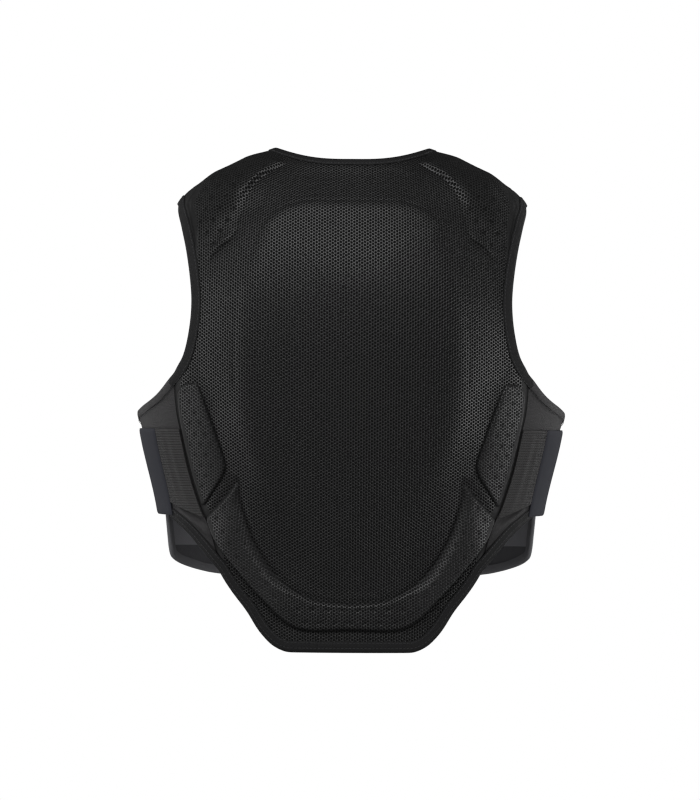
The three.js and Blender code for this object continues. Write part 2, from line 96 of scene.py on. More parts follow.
# Walls and the distances that sewn layers keep.
PADDED_WALL, STRETCH_WALL, ELASTIC_WALL, STRAP_WALL = 4, 2, 1.2, 2
RIM_WALL = PADDED_WALL / 2 + 0.4
RIB_HALF, LAY_GAP = 0.25, 0.8
TAPE, TAPE_CLEARANCE, TAPE_ROUND, TAPE_SEAT, TAPE_STEP = 1, 0.7, 0.7, 0.12, 2.5
EDGE_DIP, EDGE_DIP_WIDTH = 0.8, 9
# Stitches: way in from the tape's inner rim, and a second row's share of the tape's width.
STITCH_INSET, SECOND_ROW = 1.8, 0.25
# Angles in degrees up to which faces are shaded as one.
CLOTH_SMOOTH, TAPE_SMOOTH = 50, 60
PAD_GAP, PAD_SKIN = 0.02, 0.3
# Step by which the torso's slope is felt.
PROBE = 0.25

# Belt: elastic on the side panel, then the strap. Angles in degrees from mid back.
BELT_TOP, ELASTIC_FOOT_SEAM, ELASTIC_FOOT_SIDE, STRAP_FOOT = -306, -402, -387, -401
ELASTIC_END_ANGLE = 75.5
STRAP_LIFT = np.array([(75.6, 3.0), (82, 3.4), (92, 4.9), (100, 6.6), (109, 6.6), (120, 5.4), (139, 4.9)])

# Foam pads: shield and its raised face by height and half width, lumbar band from middle to tip as inner and
# outer edge, side pads by height, shoulder pads by angle from straight up, both as inner and outer edge.
SHIELD = np.array([
    (-489, 26), (-482, 49), (-463, 73), (-425, 100), (-367, 120), (-250, 124), (-150, 121), (-98, 108),
    (-74, 86), (-62, 54),
])
SHIELD_FACE = np.array([
    (-480, 24), (-474, 40), (-451, 59), (-398, 82), (-344, 104), (-297, 118), (-250, 123.5), (-196, 122.5),
    (-150, 117), (-110, 103), (-82, 89), (-67, 67), (-62, 48),
])
LUMBAR = np.array([
    (0, 0, -494, 0, -524), (1, 42, -488.5, 58, -522), (2, 78, -466, 95, -490),
    (3, 104, -428, 130, -449), (4, 116, -393, 147, -426), (5, 121.5, -362, 157, -404),
])
LUMBAR_SIDE_COLUMNS = 66
SIDE_PAD = np.array([
    (-389, 157, 161), (-372, 146.5, 166), (-357, 137.5, 171), (-345, 134.5, 174), (-332, 138, 177.5),
    (-305, 147, 183.5), (-279, 156.5, 187), (-264, 162, 186), (-256, 166.5, 178),
])
SHOULDER_PAD = np.array([
    (-86, 151, 160), (-84.5, 149, 161), (-83, 140, 162), (-81, 131, 162.5), (-78, 125, 163.5),
    (-68, 121, 166), (-60, 117, 169), (-51, 111.5, 172), (-46.5, 105, 173.5), (-43, 96, 174),
    (-41, 84, 174.5), (-39, 73, 175), (-34, 75, 175), (-27, 80, 175), (0, 91, 175), (32, 100, 171),
])
SHOULDER_AXIS_DROP, SHOULDER_FOOT_ANGLE = 100, -75
# Shoulder pad's inner rim by the same angle: its width and its share of the pad's height.
SHOULDER_RIM = np.array([
    (-86, 6, 0.9), (-79, 6, 0.9), (-73, 12, 0.3), (-56, 12, 0.3), (-49, 7, 0.7), (-39, 6, 0.85),
    (-28, 24, 1), (32, 24, 1),
])
# How far the mesh beside the shield is drawn up by it.
TAUT_RISE = 8.0

# Mesh: two columns of holes to a cell of this width in pitches, the rows' slope, their unevenness in metres,
# and a hole's inner and outer rim in pitches.
MESH_CELL, MESH_SLOPE, MESH_DRIFT, HOLE_RIM = 1.6, 0.06, 0.001, (0.24, 0.46)
CLOTH_MAP, PRESSED_AND_SHADE, FLAT_AND_HIGHLIGHT = "cloth", "pressed_and_shade", "closed"

# Studio lights: place and size in metres, and power in watts.
LIGHTS = {
    "key": ((-0.45, -2.0, 1.45), (3.4, 1.6), 51),
    "top": ((0, -0.85, 1.9), (3.2, 0.5), 9),
    "left strip": ((-2.35, -1.0, -0.2), (1.0, 2.2), 20.5),
    "right strip": ((2.35, -1.0, -0.5), (1.0, 1.4), 23.5),
    "left rim": ((-2.0, 1.0, -0.2), (0.9, 1.8), 12.8),
    "right rim": ((2.0, 1.0, -0.2), (0.9, 1.8), 14.5),
}
LIT_PLACE, ROOM_LIGHT = Vector((0, 0, -0.26)), 0.03
FLOOR_HEIGHT, FLOOR_RADIUS, FLOOR_COLOUR = -1.0, 1.7, "#a0a0a0"
CAMERA_PLACE, CAMERA_TURN, CAMERA_LENS = (-0.0014, -3.0, -0.274), (90, -0.3, 0), 120.5


# Curves and the torso that all cloth lies on

def through(table, places):
    """Smooth curves through a table's rows, keyed by its first column: each other column at the places."""
    keys, values = table[:, 0], table[:, 1:]
    steps = np.diff(keys)
    slopes = np.diff(values, axis=0) / steps[:, None]
    lean = np.vstack([slopes[:1], (slopes[1:] + slopes[:-1]) / 2, slopes[-1:]])
    places = np.asarray(places, float)
    row = np.clip(np.searchsorted(keys, places, side="right") - 1, 0, len(steps) - 1)
    step = steps[row][..., None]
    p = np.clip((places - keys[row])[..., None] / step, 0, 1)
    curve = (
        (2 * p**3 - 3 * p**2 + 1) * values[row]
        + (p**3 - 2 * p**2 + p) * step * lean[row]
        + (3 * p**2 - 2 * p**3) * values[row + 1]
        + (p**3 - p**2) * step * lean[row + 1]
    )
    return np.moveaxis(curve, -1, 0)


def blend(low, high, share):
    return low + (high - low) * share


def ramp(value, start, end):
    """0 before the start and 1 past the end, slow at both."""
    share = np.clip((value - start) / (end - start), 0, 1)
    return share * share * (3 - 2 * share)


def bell(distance, width):
    """1 in the middle, falling to nothing over about twice the width."""
    return np.exp(-((distance / width) ** 2))


def swell(distance, width, power=2.2):
    """Rise of a foam edge from its rim to full height over a width."""
    return 1 - (1 - np.clip(distance / width, 0, 1)) ** power


def unit(way):
    return way / np.linalg.norm(way, axis=-1, keepdims=True)


def paired(first, second):
    """Two values or arrays of them in one common shape."""
    return np.broadcast_arrays(np.asarray(first, float), np.asarray(second, float))


def torso(z, ahead):
    """Half width, depth and squareness at a height, behind the side line where ahead is under 0."""
    half, back, front, square_back, square_front = through(TORSO, z)
    behind = np.less(ahead, 0)
    return half, np.where(behind, back, front), np.where(behind, square_back, square_front)


def fullness(place):
    """Under 1 inside the vest, 1 on its inner face and over 1 outside."""
    x, y, z = np.moveaxis(place, -1, 0)
    half, depth, square = torso(z, y)
    return (np.abs(x) / half) ** square + (np.abs(y) / depth) ** square


def outward(place):
    """Direction straight out of the torso."""
    slope = [fullness(place + step) - fullness(place - step) for step in np.eye(3) * PROBE]
    return unit(np.stack(slope, -1))


def lifted(place, distance):
    return place + outward(place) * np.asarray(distance, float)[..., None]


def on_face(x, z, sign):
    """Place on the back where the sign is -1, on the front where it is 1."""
    x, z = paired(x, z)
    half, depth, square = torso(z, sign)
    left = np.clip(1 - (np.abs(x) / half) ** square, 0, 1)
    return np.stack([x, sign * depth * left ** (1 / square), z], -1)


def on_back(x, z):
    return on_face(x, z, -1)


def back_edge(z):
    return on_back(through(BACK_EDGE, z)[0], z)


def front_edge(z):
    return on_face(through(FRONT_EDGE, z)[0], z, 1)


def around_waist(angle, z):
    angle, z = paired(angle, z)
    side, ahead = np.sin(angle), -np.cos(angle)
    half, depth, square = torso(z, ahead)
    reach = ((np.abs(side) / half) ** square + (np.abs(ahead) / depth) ** square) ** (-1 / square)
    return np.stack([side * reach, ahead * reach, z], -1)


def cast(start, way, reach=400, halvings=40):
    """Walks from places inside the torso until they meet the inner face of the vest."""
    near, far = np.zeros(start.shape[:-1]), np.full(start.shape[:-1], float(reach))
    for _ in range(halvings):
        middle = (near + far) / 2
        inside = fullness(start + way * middle[..., None]) < 1
        near, far = np.where(inside, middle, near), np.where(inside, far, middle)
    return start + way * near[..., None]


def from_above(x, y):
    x, y = paired(x, y)
    start = np.stack([x, y, np.full(x.shape, float(CHEST))], -1)
    return cast(start, np.array([0.0, 0.0, 1.0]))


def over_shoulder(x, angle):
    x, angle = paired(x, angle)
    axis = from_above(x, 0) - [0, 0, SHOULDER_AXIS_DROP]
    return cast(axis, np.stack([np.zeros(x.shape), np.sin(angle), np.cos(angle)], -1))


def onto_torso(place, rounds=6):
    """Nearest place on the torso, by a few steps along its slope."""
    for _ in range(rounds):
        way = outward(place)
        rise = fullness(place + way * PROBE) - fullness(place - way * PROBE)
        place = place + way * (2 * PROBE * (1 - fullness(place)) / rise)[..., None]
    return place


def sided(grid, turn):
    """A right-hand grid, or for turn -1 the left-hand one, its columns turned so that faces point out."""
    return grid[:, ::turn] * [turn, 1, 1]


# Grids of the cloth pieces

def top_columns(neck_depth, neck_steps, ridge_steps):
    turn = np.linspace(0, math.pi / 2, neck_steps + 1)
    bend = 2 / NECK_SQUARE
    neck = np.stack([NECK_HALF * np.sin(turn) ** bend, neck_depth * np.abs(np.cos(turn)) ** bend], -1)
    run = 1 - (1 - np.linspace(0, 1, ridge_steps + 1)[1:]) ** 1.5
    ridge = np.stack([blend(NECK_HALF, TIP_HALF, run), np.zeros(ridge_steps)], -1)
    half = np.vstack([neck, ridge])
    return np.vstack([half[:0:-1] * [-1, 1], half])


def panel_grid(edge, sign, columns, lower_rows, yoke_rows):
    """Grid of the back or front panel: level rows up to the chest, then rows that lift to neck and ridge."""
    top = from_above(columns[:, 0], columns[:, 1])
    across = top[:, 0] / TIP_HALF
    rows = []
    for z in np.linspace(edge[0, 0], CHEST, lower_rows):
        half, *sag = through(edge, z)
        drop = sag[0] if sag else 0
        rows.append(on_face(across * half, z - drop * (1 - across**2), sign))
    for share in np.linspace(0, 1, yoke_rows + 1)[1:-1]:
        climb = 1 - (1 - share) ** 2
        half = through(edge, blend(CHEST, edge[-1, 0], climb))[0]
        rows.append(on_face(across * half, blend(CHEST, top[:, 2], climb), sign))
    return np.stack([*rows, top])


def side_span(z, gap):
    """Angles round the waist of the two edges that the side panel joins, a gap inside them."""
    spans = []
    for place, sign in ((back_edge(z), 1), (front_edge(z), -1)):
        turn = gap / np.hypot(place[..., 0], place[..., 1])
        spans.append(np.arctan2(place[..., 0], -place[..., 1]) + sign * turn)
    return spans


def side_grid(rows, columns, gap=0.15):
    climb = np.linspace(0, 1, rows)[:, None]
    share = np.linspace(0, 1, columns)
    foot, head = through(SIDE_EDGE, share)
    z = blend(foot, head, climb)
    start, end = side_span(z, gap)
    return around_waist(blend(start, end, share), z)


def elastic_grid(rows, columns, gap=0.4):
    climb = np.linspace(0, 1, rows)[:, None]
    share = np.linspace(0, 1, columns)
    z = blend(blend(ELASTIC_FOOT_SEAM, ELASTIC_FOOT_SIDE, share), BELT_TOP, climb)
    start, _ = side_span(z, gap)
    return around_waist(blend(start, math.radians(ELASTIC_END_ANGLE), share), z)


def strap_grid(rows, columns):
    z = np.linspace(STRAP_FOOT, BELT_TOP, rows)[:, None]
    angle = np.linspace(STRAP_LIFT[0, 0], STRAP_LIFT[-1, 0], columns)
    return around_waist(np.radians(angle), z), through(STRAP_LIFT, angle)[0]


def shield_grid(table, rows, columns):
    climb = (1 - np.cos(np.linspace(0, math.pi, rows))) / 2
    z = blend(table[0, 0], table[-1, 0], climb)[:, None]
    share = np.sin(np.linspace(-math.pi / 2, math.pi / 2, columns))
    return on_back(share * through(table, z)[0], z)


def lumbar_grid(rows, columns):
    along = np.linspace(-LUMBAR[-1, 0], LUMBAR[-1, 0], columns)
    inner_x, inner_z, outer_x, outer_z = through(LUMBAR, np.abs(along))
    across = np.linspace(1, 0, rows)[:, None]
    return on_back(np.sign(along) * blend(inner_x, outer_x, across), blend(inner_z, outer_z, across))


def side_pad_grid(rows, columns):
    z = np.linspace(SIDE_PAD[0, 0], SIDE_PAD[-1, 0], rows)[:, None]
    inner, outer = through(SIDE_PAD, z)
    return on_back(blend(inner, outer, np.linspace(0, 1, columns)), z)


def shoulder_angles(rows):
    """Angles of the shoulder pad's rows, so that they start evenly along its curved inner edge."""
    fine = np.linspace(SHOULDER_PAD[0, 0], SHOULDER_PAD[-1, 0], 600)
    run = run_along(over_shoulder(through(SHOULDER_PAD, fine)[0], np.radians(fine)), 0)
    return np.interp(np.linspace(0, run[-1], rows), run, fine)


def shoulder_pad_grid(angles, columns):
    inner, outer = through(SHOULDER_PAD, angles[:, None])
    return over_shoulder(blend(inner, outer, np.linspace(0, 1, columns)), np.radians(angles)[:, None])


# The mesh cloth's own measure, shared by the back panel and every pad under the same cloth

def run_along(grid, axis):
    """Way from the first place of each line to every other, along the line."""
    return np.insert(np.cumsum(np.linalg.norm(np.diff(grid, axis=axis), axis=-1), axis), 0, 0, axis)


def own_measure(grid):
    """Millimetres along the cloth from its first row and column."""
    return np.stack([run_along(grid, 1), run_along(grid, 0)], -1)


def back_measure(grid, level_height=-300):
    """Millimetres along the back's cloth: up along upright lines, across so that rows keep their length."""
    z = grid[..., 2]
    moved = on_back(grid[:-1, :, 0], z[1:])[..., 1] - on_back(grid[:-1, :, 0], z[:-1])[..., 1]
    up = np.insert(np.cumsum(np.hypot(np.diff(z, axis=0), moved), 0), 0, 0, 0)
    middle = grid.shape[1] // 2
    up = up - up[np.argmin(np.abs(z[:, middle] - level_height))]
    length = np.linalg.norm(np.diff(grid, axis=1), axis=-1)
    run = np.sqrt(np.maximum(length**2 - np.diff(up, axis=1) ** 2, (0.3 * length) ** 2))
    across = np.insert(np.cumsum(run, 1), 0, 0, 1)
    return np.stack([across - across[:, middle : middle + 1], up], -1)


def near_finder(places):
    tree = kdtree.KDTree(len(places))
    for index, place in enumerate(places):
        tree.insert(place, index)
    tree.balance()
    return tree


class BackCloth:
    """Finds the place on the back's flat cloth for any place near the back."""

    def __init__(self, grid):
        self.grid = lifted(grid, PADDED_WALL)
        self.measure = back_measure(grid)
        self.tree = near_finder(self.grid.reshape(-1, 3))

    def find(self, grid):
        places = lifted(grid, PADDED_WALL).reshape(-1, 3)
        nearest = np.array([self.tree.find(place)[1] for place in places])
        rows, columns = self.grid.shape[:2]
        r, c = nearest // columns, nearest % columns
        below, above = np.maximum(r - 1, 0), np.minimum(r + 1, rows - 1)
        left, right = np.maximum(c - 1, 0), np.minimum(c + 1, columns - 1)
        off = places - self.grid[r, c]
        across = self.grid[r, right] - self.grid[r, left]
        up = self.grid[above, c] - self.grid[below, c]
        aa, uu, au = (across**2).sum(-1), (up**2).sum(-1), (across * up).sum(-1)
        oa, ou = (off * across).sum(-1), (off * up).sum(-1)
        spread = aa * uu - au**2
        a, b = (oa * uu - ou * au) / spread, (ou * aa - oa * au) / spread
        measure = (
            self.measure[r, c]
            + a[:, None] * (self.measure[r, right] - self.measure[r, left])
            + b[:, None] * (self.measure[above, c] - self.measure[below, c])
        )
        return measure.reshape(*grid.shape[:2], 2)


def distance_to(measure, line):
    """Shortest distance on the flat cloth from each place to a line of places."""
    spots = measure.reshape(-1, 1, 2)
    start, step = line[:-1], np.diff(line, axis=0)
    share = ((spots - start) * step).sum(-1) / np.maximum((step**2).sum(-1), 1e-9)
    nearest = start + np.clip(share, 0, 1)[..., None] * step
    return np.sqrt(((spots - nearest) ** 2).sum(-1).min(1)).reshape(measure.shape[:-1])


def border(measure):
    """Closed line round a grid."""
    return np.vstack([measure[0], measure[1:, -1], measure[-1, -2::-1], measure[-2::-1, 0]])


def pad_grids():
    """Grid of each foam pad by its node."""
    grids = {
        "back_shield": shield_grid(SHIELD, rows=170, columns=111),
        "lumbar_pad": lumbar_grid(rows=41, columns=221),
    }
    for side, turn in SIDES.items():
        grids[f"side_pad_{side}"] = sided(side_pad_grid(rows=81, columns=31), turn)
        grids[f"shoulder_pad_{side}"] = sided(shoulder_pad_grid(SHOULDER_ANGLES, columns=51), turn)
    return grids


BACK_GRID = panel_grid(BACK_EDGE, -1, top_columns(-NECK_BACK, 26, 30), lower_rows=118, yoke_rows=62)
FRONT_GRID = panel_grid(FRONT_EDGE, 1, top_columns(NECK_FRONT, 22, 26), lower_rows=80, yoke_rows=50)
BACK_CLOTH = BackCloth(BACK_GRID)
SHOULDER_ANGLES = shoulder_angles(rows=131)
PAD_GRIDS = pad_grids()
PAD_MEASURES = {name: BACK_CLOTH.find(grid) for name, grid in PAD_GRIDS.items()}

# Lines where the mesh is drawn down to the panel: line on the flat cloth, depth and half width of the dip,
# and how far the mesh is darkened there, as painted shade along the creases and as a dark seam along the
# back's side seams.
LUMBAR_CLOTH = PAD_MEASURES["lumbar_pad"]
LUMBAR_SIDES = LUMBAR_CLOTH[-1, :LUMBAR_SIDE_COLUMNS], LUMBAR_CLOTH[-1, -LUMBAR_SIDE_COLUMNS:]
SHOULDER_FOOT = SHOULDER_ANGLES < SHOULDER_FOOT_ANGLE
SEAM_ROWS = (BACK_GRID[:, 0, 2] > BACK_SEAM_FOOT) & (BACK_GRID[:, 0, 2] < BACK_SEAM_HEAD)
NECK_COLUMNS = np.abs(BACK_GRID[-1, :, 0]) <= NECK_HALF + 0.01
OUTER_EDGE = np.vstack([BACK_CLOTH.measure[::-1, 0], BACK_CLOTH.measure[0], BACK_CLOTH.measure[:, -1]])
FACE_BORDER = border(BACK_CLOTH.find(shield_grid(SHIELD_FACE, rows=90, columns=61)))
CREASES = [
    (LUMBAR_CLOTH[0], 1.0, 2.0, 0.45),
    (LUMBAR_CLOTH[-1], 0.4, 3.0, 0.15),
    *[(line, 0.8, 3.4, 0.35) for line in LUMBAR_SIDES],
    *[(LUMBAR_CLOTH[:, column], 0.9, 2.4, 0.2) for column in (0, -1)],
    *[(border(PAD_MEASURES[f"side_pad_{side}"]), 0.4, 1.8, 0.1) for side in SIDES],
    (PAD_MEASURES["shoulder_pad_right"][SHOULDER_FOOT, 0], 0.7, 1.7, 0.6),
    (PAD_MEASURES["shoulder_pad_left"][SHOULDER_FOOT, -1], 0.7, 1.7, 0.6),
    (OUTER_EDGE, EDGE_DIP, EDGE_DIP_WIDTH, 0.0),
    *[(BACK_CLOTH.measure[SEAM_ROWS, column], 0.6, 2.6, 0.95) for column in (0, -1)],
    (BACK_CLOTH.measure[-1, NECK_COLUMNS], EDGE_DIP, EDGE_DIP_WIDTH, 0.0),
]


def inside_face(grid, measure):
    """Way in from the rim of the shield's raised face, under 0 outside it."""
    x, z = np.abs(grid[..., 0]), grid[..., 2]
    half = np.where((z > SHIELD_FACE[0, 0]) & (z < SHIELD_FACE[-1, 0]), through(SHIELD_FACE, z)[0], 0)
    return np.where(x < half, 1, -1) * distance_to(measure, FACE_BORDER)


def taut_rise(grid, measure):
    """Rise of the panel beside and under the shield, where the mesh is drawn over the foam's edge."""
    z = grid[..., 2]
    away = np.maximum(-inside_face(grid, measure), 0)
    top = ramp(z, -105, -65)
    waist_reach, back_reach, top_loss = 30, 48, 7
    reach = blend(waist_reach, back_reach, ramp(z, -285, -225)) - top_loss * top
    return TAUT_RISE * np.clip(1 - away / reach, 0, 1) ** blend(1.3, 1.8, top) * ramp(z, -465, -355)


def panel_lift(grid, measure):
    """Outer face of the back panel above the torso, with the dips along its creases."""
    lift = PADDED_WALL + taut_rise(grid, measure)
    for line, depth, width, _ in CREASES:
        lift -= depth * bell(distance_to(measure, line[::2]), width)
    return lift


def pressing_and_shade(grid, measure):
    """How far the mesh is darkened, as painted shade along creases and as dark seams, and where it is sewn
    flat without holes.
    """
    shut_and_shade = np.zeros(measure.shape[:-1])
    # Painted shade along the creases, and the dark seams along the back's side seams.
    for line, _, width, share in CREASES:
        shut_and_shade = np.maximum(shut_and_shade, share * bell(distance_to(measure, line[::2]), width))
    x, y, z = np.abs(grid[..., 0]), grid[..., 1], grid[..., 2]
    # Flat strip inside the armhole's tape, widest at the shoulder tip, with a seam along its middle.
    narrow, broad, soft = 9.5, 20, 1.5
    seam_share, seam_width, seam_inset = 0.8, 1.3, 11
    wide = blend(narrow, broad, ramp(z, -135, -65))
    inset = distance_to(measure, OUTER_EDGE[::2])
    closed = ramp(wide - inset, 0, soft)
    seam = seam_share * bell(inset - seam_inset, seam_width) * ramp(wide, seam_inset, seam_inset + 3)
    # Smooth strip that comes over the ridge beside the neck.
    reach = broad * ramp(x, 112, 86)
    strip = ramp(reach + y, 0, soft) * (reach > 0.5)
    ridge_seam = seam_share * bell(reach + y, seam_width) * ramp(x, 112, 102)
    return np.maximum(np.maximum(shut_and_shade, seam), ridge_seam), np.maximum(closed, strip)


# Mesh making

def lay(mesh, places):
    mesh.vertices.foreach_set("co", (np.asarray(places).reshape(-1, 3) * MM).astype(np.float32).ravel())
    mesh.update()


def laid_grid(name, places, measure):
    """Adds a grid and lays its corners on the places, with the cloth's measure as its map in metres."""
    rows, columns = places.shape[:2]
    bpy.ops.object.select_all(action="DESELECT")
    bpy.ops.mesh.primitive_grid_add(x_subdivisions=columns - 1, y_subdivisions=rows - 1)
    piece = bpy.context.object
    piece.name = piece.data.name = name
    mesh = piece.data
    if len(mesh.vertices) != rows * columns:
        raise RuntimeError(f"{name}: the grid has {len(mesh.vertices)} corners, not {rows * columns}")
    lay(mesh, places)
    layer = mesh.uv_layers[0]
    layer.name = CLOTH_MAP
    corner = np.zeros(len(mesh.loops), np.int32)
    mesh.loops.foreach_get("vertex_index", corner)
    layer.uv.foreach_set("vector", (measure.reshape(-1, 2)[corner] * MM).astype(np.float32).ravel())
    return piece


def cloth_piece(name, outer, inner, measure):
    """One closed piece: a grid on the outer face, thickened, with its second face laid on the inner one."""
    piece = laid_grid(name, outer, measure)
    bpy.ops.object.modifier_add(type="SOLIDIFY")
    wall = piece.modifiers[-1]
    wall.thickness, wall.offset = MM, -1
    bpy.ops.object.modifier_apply(modifier=wall.name)
    count = outer.shape[0] * outer.shape[1]
    if len(piece.data.vertices) != 2 * count:
        raise RuntimeError(f"{name}: thickening gave {len(piece.data.vertices)} corners, not {2 * count}")
    lay(piece.data, np.concatenate([outer.reshape(-1, 3), inner.reshape(-1, 3)]))
    bpy.ops.object.shade_smooth_by_angle(angle=math.radians(CLOTH_SMOOTH))
    return piece


def way_to_edge(grid):
    """Straight way from each place of a panel to the nearest place on its free edges."""
    neck = np.abs(grid[-1, :, 0]) <= NECK_HALF
    tree = near_finder(np.vstack([grid[:, 0], grid[0], grid[:, -1], grid[-1, neck]]))
    return np.reshape([tree.find(place)[2] for place in grid.reshape(-1, 3)], grid.shape[:2])


def rim_share(grid, steps, panel=False):
    """0 at a grid's border, 1 some steps inside, rounded between. A panel's ridge seams aren't free."""
    rows, columns = grid.shape[:2]
    r, c = np.arange(rows)[:, None], np.arange(columns)
    seam = 6 * ramp(np.abs(grid[-1, :, 0]), NECK_HALF - 2, NECK_HALF + 10) if panel else 0
    near = np.minimum(np.minimum(r, rows - 1 - r + seam), np.minimum(c, columns - 1 - c))
    return np.sqrt(1 - (1 - np.clip(near / steps, 0, 1)) ** 2)


def press_and_shade(piece, shut_and_shade, closed):
    """Keeps with the outer face how far its mesh is darkened, by seams and by painted shade, and where its
    holes are filled in: sewn flat, and as painted highlight.
    """
    for name, face in ((PRESSED_AND_SHADE, shut_and_shade), (FLAT_AND_HIGHLIGHT, closed)):
        values = np.zeros(len(piece.data.vertices), np.float32)
        values[: face.size] = face.ravel()
        piece.data.attributes.new(name, "FLOAT", "POINT").data.foreach_set("value", values)


def finish_piece(piece, node, material):
    piece.data.materials.append(material_for(material))
    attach(piece, "root")
    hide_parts(node)


def sheet_piece(node, grid, foot, wall, material):
    """A cut of cloth, from a foot above the torso up by its wall. Its flat size and area are worked out, but
    nothing takes them.
    """
    measure = own_measure(grid)
    piece = cloth_piece(f"vest_{node}", lifted(grid, foot + wall), lifted(grid, foot), measure)
    finish_piece(piece, node, material)
    width = float(np.ptp(measure[..., 0], axis=1).max() * MM)
    length = float(np.ptp(measure[..., 1], axis=0).max() * MM)
    across, up = np.diff(grid, axis=1)[:-1], np.diff(grid, axis=0)[:, :-1]
    area = float(np.linalg.norm(np.cross(across, up), axis=-1).sum() * MM**2)
    area = min(area, width * length)
    return piece


# Materials

def linear(hex_colour):
    """Linear colour of an sRGB hex value."""
    parts = [int(hex_colour[i : i + 2], 16) / 255 for i in (1, 3, 5)]
    return (*[p / 12.92 if p <= 0.04045 else ((p + 0.055) / 1.055) ** 2.4 for p in parts], 1.0)


def add_node(tree, kind, inputs=None, out=0, **settings):
    """Adds a node, makes its settings, and sets or links its inputs. Gives back one of its outputs."""
    made = tree.nodes.new(kind)
    for key, value in settings.items():
        setattr(made, key, value)
    for key, value in (inputs or {}).items():
        if isinstance(value, bpy.types.NodeSocket):
            tree.links.new(value, made.inputs[key])
        else:
            made.inputs[key].default_value = value
    return made.outputs[out]


def fabric(name, roughness, specular, colour):
    """A matt cloth: its material, tree and shader."""
    material = bpy.data.materials.new(name)
    material.use_nodes = True
    shader = material.node_tree.nodes["Principled BSDF"]
    shader.inputs["Roughness"].default_value = roughness
    shader.inputs["Specular IOR Level"].default_value = specular
    shader.inputs["Base Color"].default_value = colour
    return material, material.node_tree, shader


def spacer_mesh(colours, pitch):
    """Warp-knitted polyester spacer mesh: dark round holes in staggered columns between smooth yarns."""
    # The holes are coloured darker than the yarn, as painted shade in their depth.
    yarn_colour, hole_shade_colour = (*colours.mesh_yarn, 1), (*colours.mesh_hole_shade, 1)
    material, tree, shader = fabric("Polyester spacer mesh, knitted", 0.45, 0.8, yarn_colour)

    def vector(operation, *values, out=0):
        return add_node(tree, "ShaderNodeVectorMath", dict(enumerate(values)), out, operation=operation)

    def number(operation, *values):
        return add_node(tree, "ShaderNodeMath", dict(enumerate(values)), operation=operation)

    def spread(value, low, high, start=0.0):
        span = {"Value": value, "From Min": start, "To Min": low, "To Max": high}
        return add_node(tree, "ShaderNodeMapRange", span)

    cell = (pitch * MESH_CELL, pitch, 0)
    cloth = add_node(tree, "ShaderNodeUVMap", uv_map=CLOTH_MAP)
    # The rows slope as the cloth is cut, and each hole lies about a tenth of a millimetre off.
    across = add_node(tree, "ShaderNodeSeparateXYZ", {0: cloth}, "X")
    climb = add_node(tree, "ShaderNodeCombineXYZ", {"Y": number("MULTIPLY", across, MESH_SLOPE)})
    noise = {"Vector": cloth, "Scale": 0.9 / pitch, "Detail": 1}
    drift = add_node(tree, "ShaderNodeTexNoise", noise, "Color")
    drift = vector("MULTIPLY", drift, (MESH_DRIFT, MESH_DRIFT, 0))
    counted = vector("ADD", vector("ADD", cloth, climb), drift)
    counted = vector("MULTIPLY", counted, (1 / cell[0], 1 / cell[1], 0))
    nearest = []
    for shift in (0, 0.5):
        part = vector("FRACTION", vector("ADD", counted, (shift, shift, 0)))
        off = vector("MULTIPLY", vector("SUBTRACT", part, (0.5, 0.5, 0)), cell)
        nearest.append(vector("LENGTH", off, out="Value"))
    inner, outer = (share * pitch for share in HOLE_RIM)
    rim = {"Value": number("MINIMUM", *nearest), "From Min": inner, "From Max": outer}
    yarn = add_node(tree, "ShaderNodeMapRange", rim, interpolation_type="SMOOTHSTEP")
    # One attribute fills in the holes where the mesh is sewn flat and as painted highlight; the other
    # darkens it at seams and with painted shade.
    flat = add_node(tree, "ShaderNodeAttribute", None, "Fac", attribute_name=FLAT_AND_HIGHLIGHT)
    shut_and_shade = add_node(tree, "ShaderNodeAttribute", None, "Fac", attribute_name=PRESSED_AND_SHADE)
    yarn = number("MAXIMUM", yarn, flat)
    seen = number("MULTIPLY", yarn, spread(shut_and_shade, 1.0, 0.12))
    seen = number("MULTIPLY", seen, spread(flat, 1.0, 0.55, start=0.4))
    tone = add_node(tree, "ShaderNodeMix", {0: seen, 6: hole_shade_colour, 7: yarn_colour}, 2, data_type="RGBA")
    bump = add_node(tree, "ShaderNodeBump", {"Height": yarn, "Strength": 0.8, "Distance": 0.0006})
    # Light that falls into a hole stays there, so the holes have no shine.
    for name, value in (
        ("Specular IOR Level", spread(seen, 0.16, 0.65)),
        ("Base Color", tone),
        ("Roughness", spread(seen, 1.0, 0.34)),
        ("Normal", bump),
    ):
        tree.links.new(value, shader.inputs[name])
    return material


def woven(colour, name, thread, roughness, specular, stretch=1.0):
    """Plain woven cloth: threads over and under, drawn as two crossed waves a thread wide."""
    material, tree, shader = fabric(name, roughness, specular, colour)
    cloth = add_node(tree, "ShaderNodeUVMap", uv_map=CLOTH_MAP)
    turn = math.pi / thread
    turns = {0: cloth, 1: (turn * stretch, turn, 0)}
    counted = add_node(tree, "ShaderNodeVectorMath", turns, operation="MULTIPLY")
    waved = add_node(tree, "ShaderNodeVectorMath", {0: counted}, operation="SINE")
    split = add_node(tree, "ShaderNodeSeparateXYZ", {0: waved}).node.outputs
    height = add_node(tree, "ShaderNodeMath", {0: split[0], 1: split[1]}, operation="MULTIPLY")
    bump = add_node(tree, "ShaderNodeBump", {"Height": height, "Strength": 0.6, "Distance": 0.0002})
    tree.links.new(bump, shader.inputs["Normal"])
    return material


def brushed_loop(colour):
    """Brushed loop side of a hook-and-loop strap: a soft short nap with an uneven face."""
    material, tree, shader = fabric("Brushed nylon loop", 0.8, 0.3, colour)
    cloth = add_node(tree, "ShaderNodeUVMap", uv_map=CLOTH_MAP)
    # Loops of about 0.6 mm.
    nap = add_node(tree, "ShaderNodeTexNoise", {"Vector": cloth, "Scale": 1600, "Detail": 3})
    bump = add_node(tree, "ShaderNodeBump", {"Height": nap, "Strength": 0.5, "Distance": 0.0004})
    tree.links.new(bump, shader.inputs["Normal"])
    return material


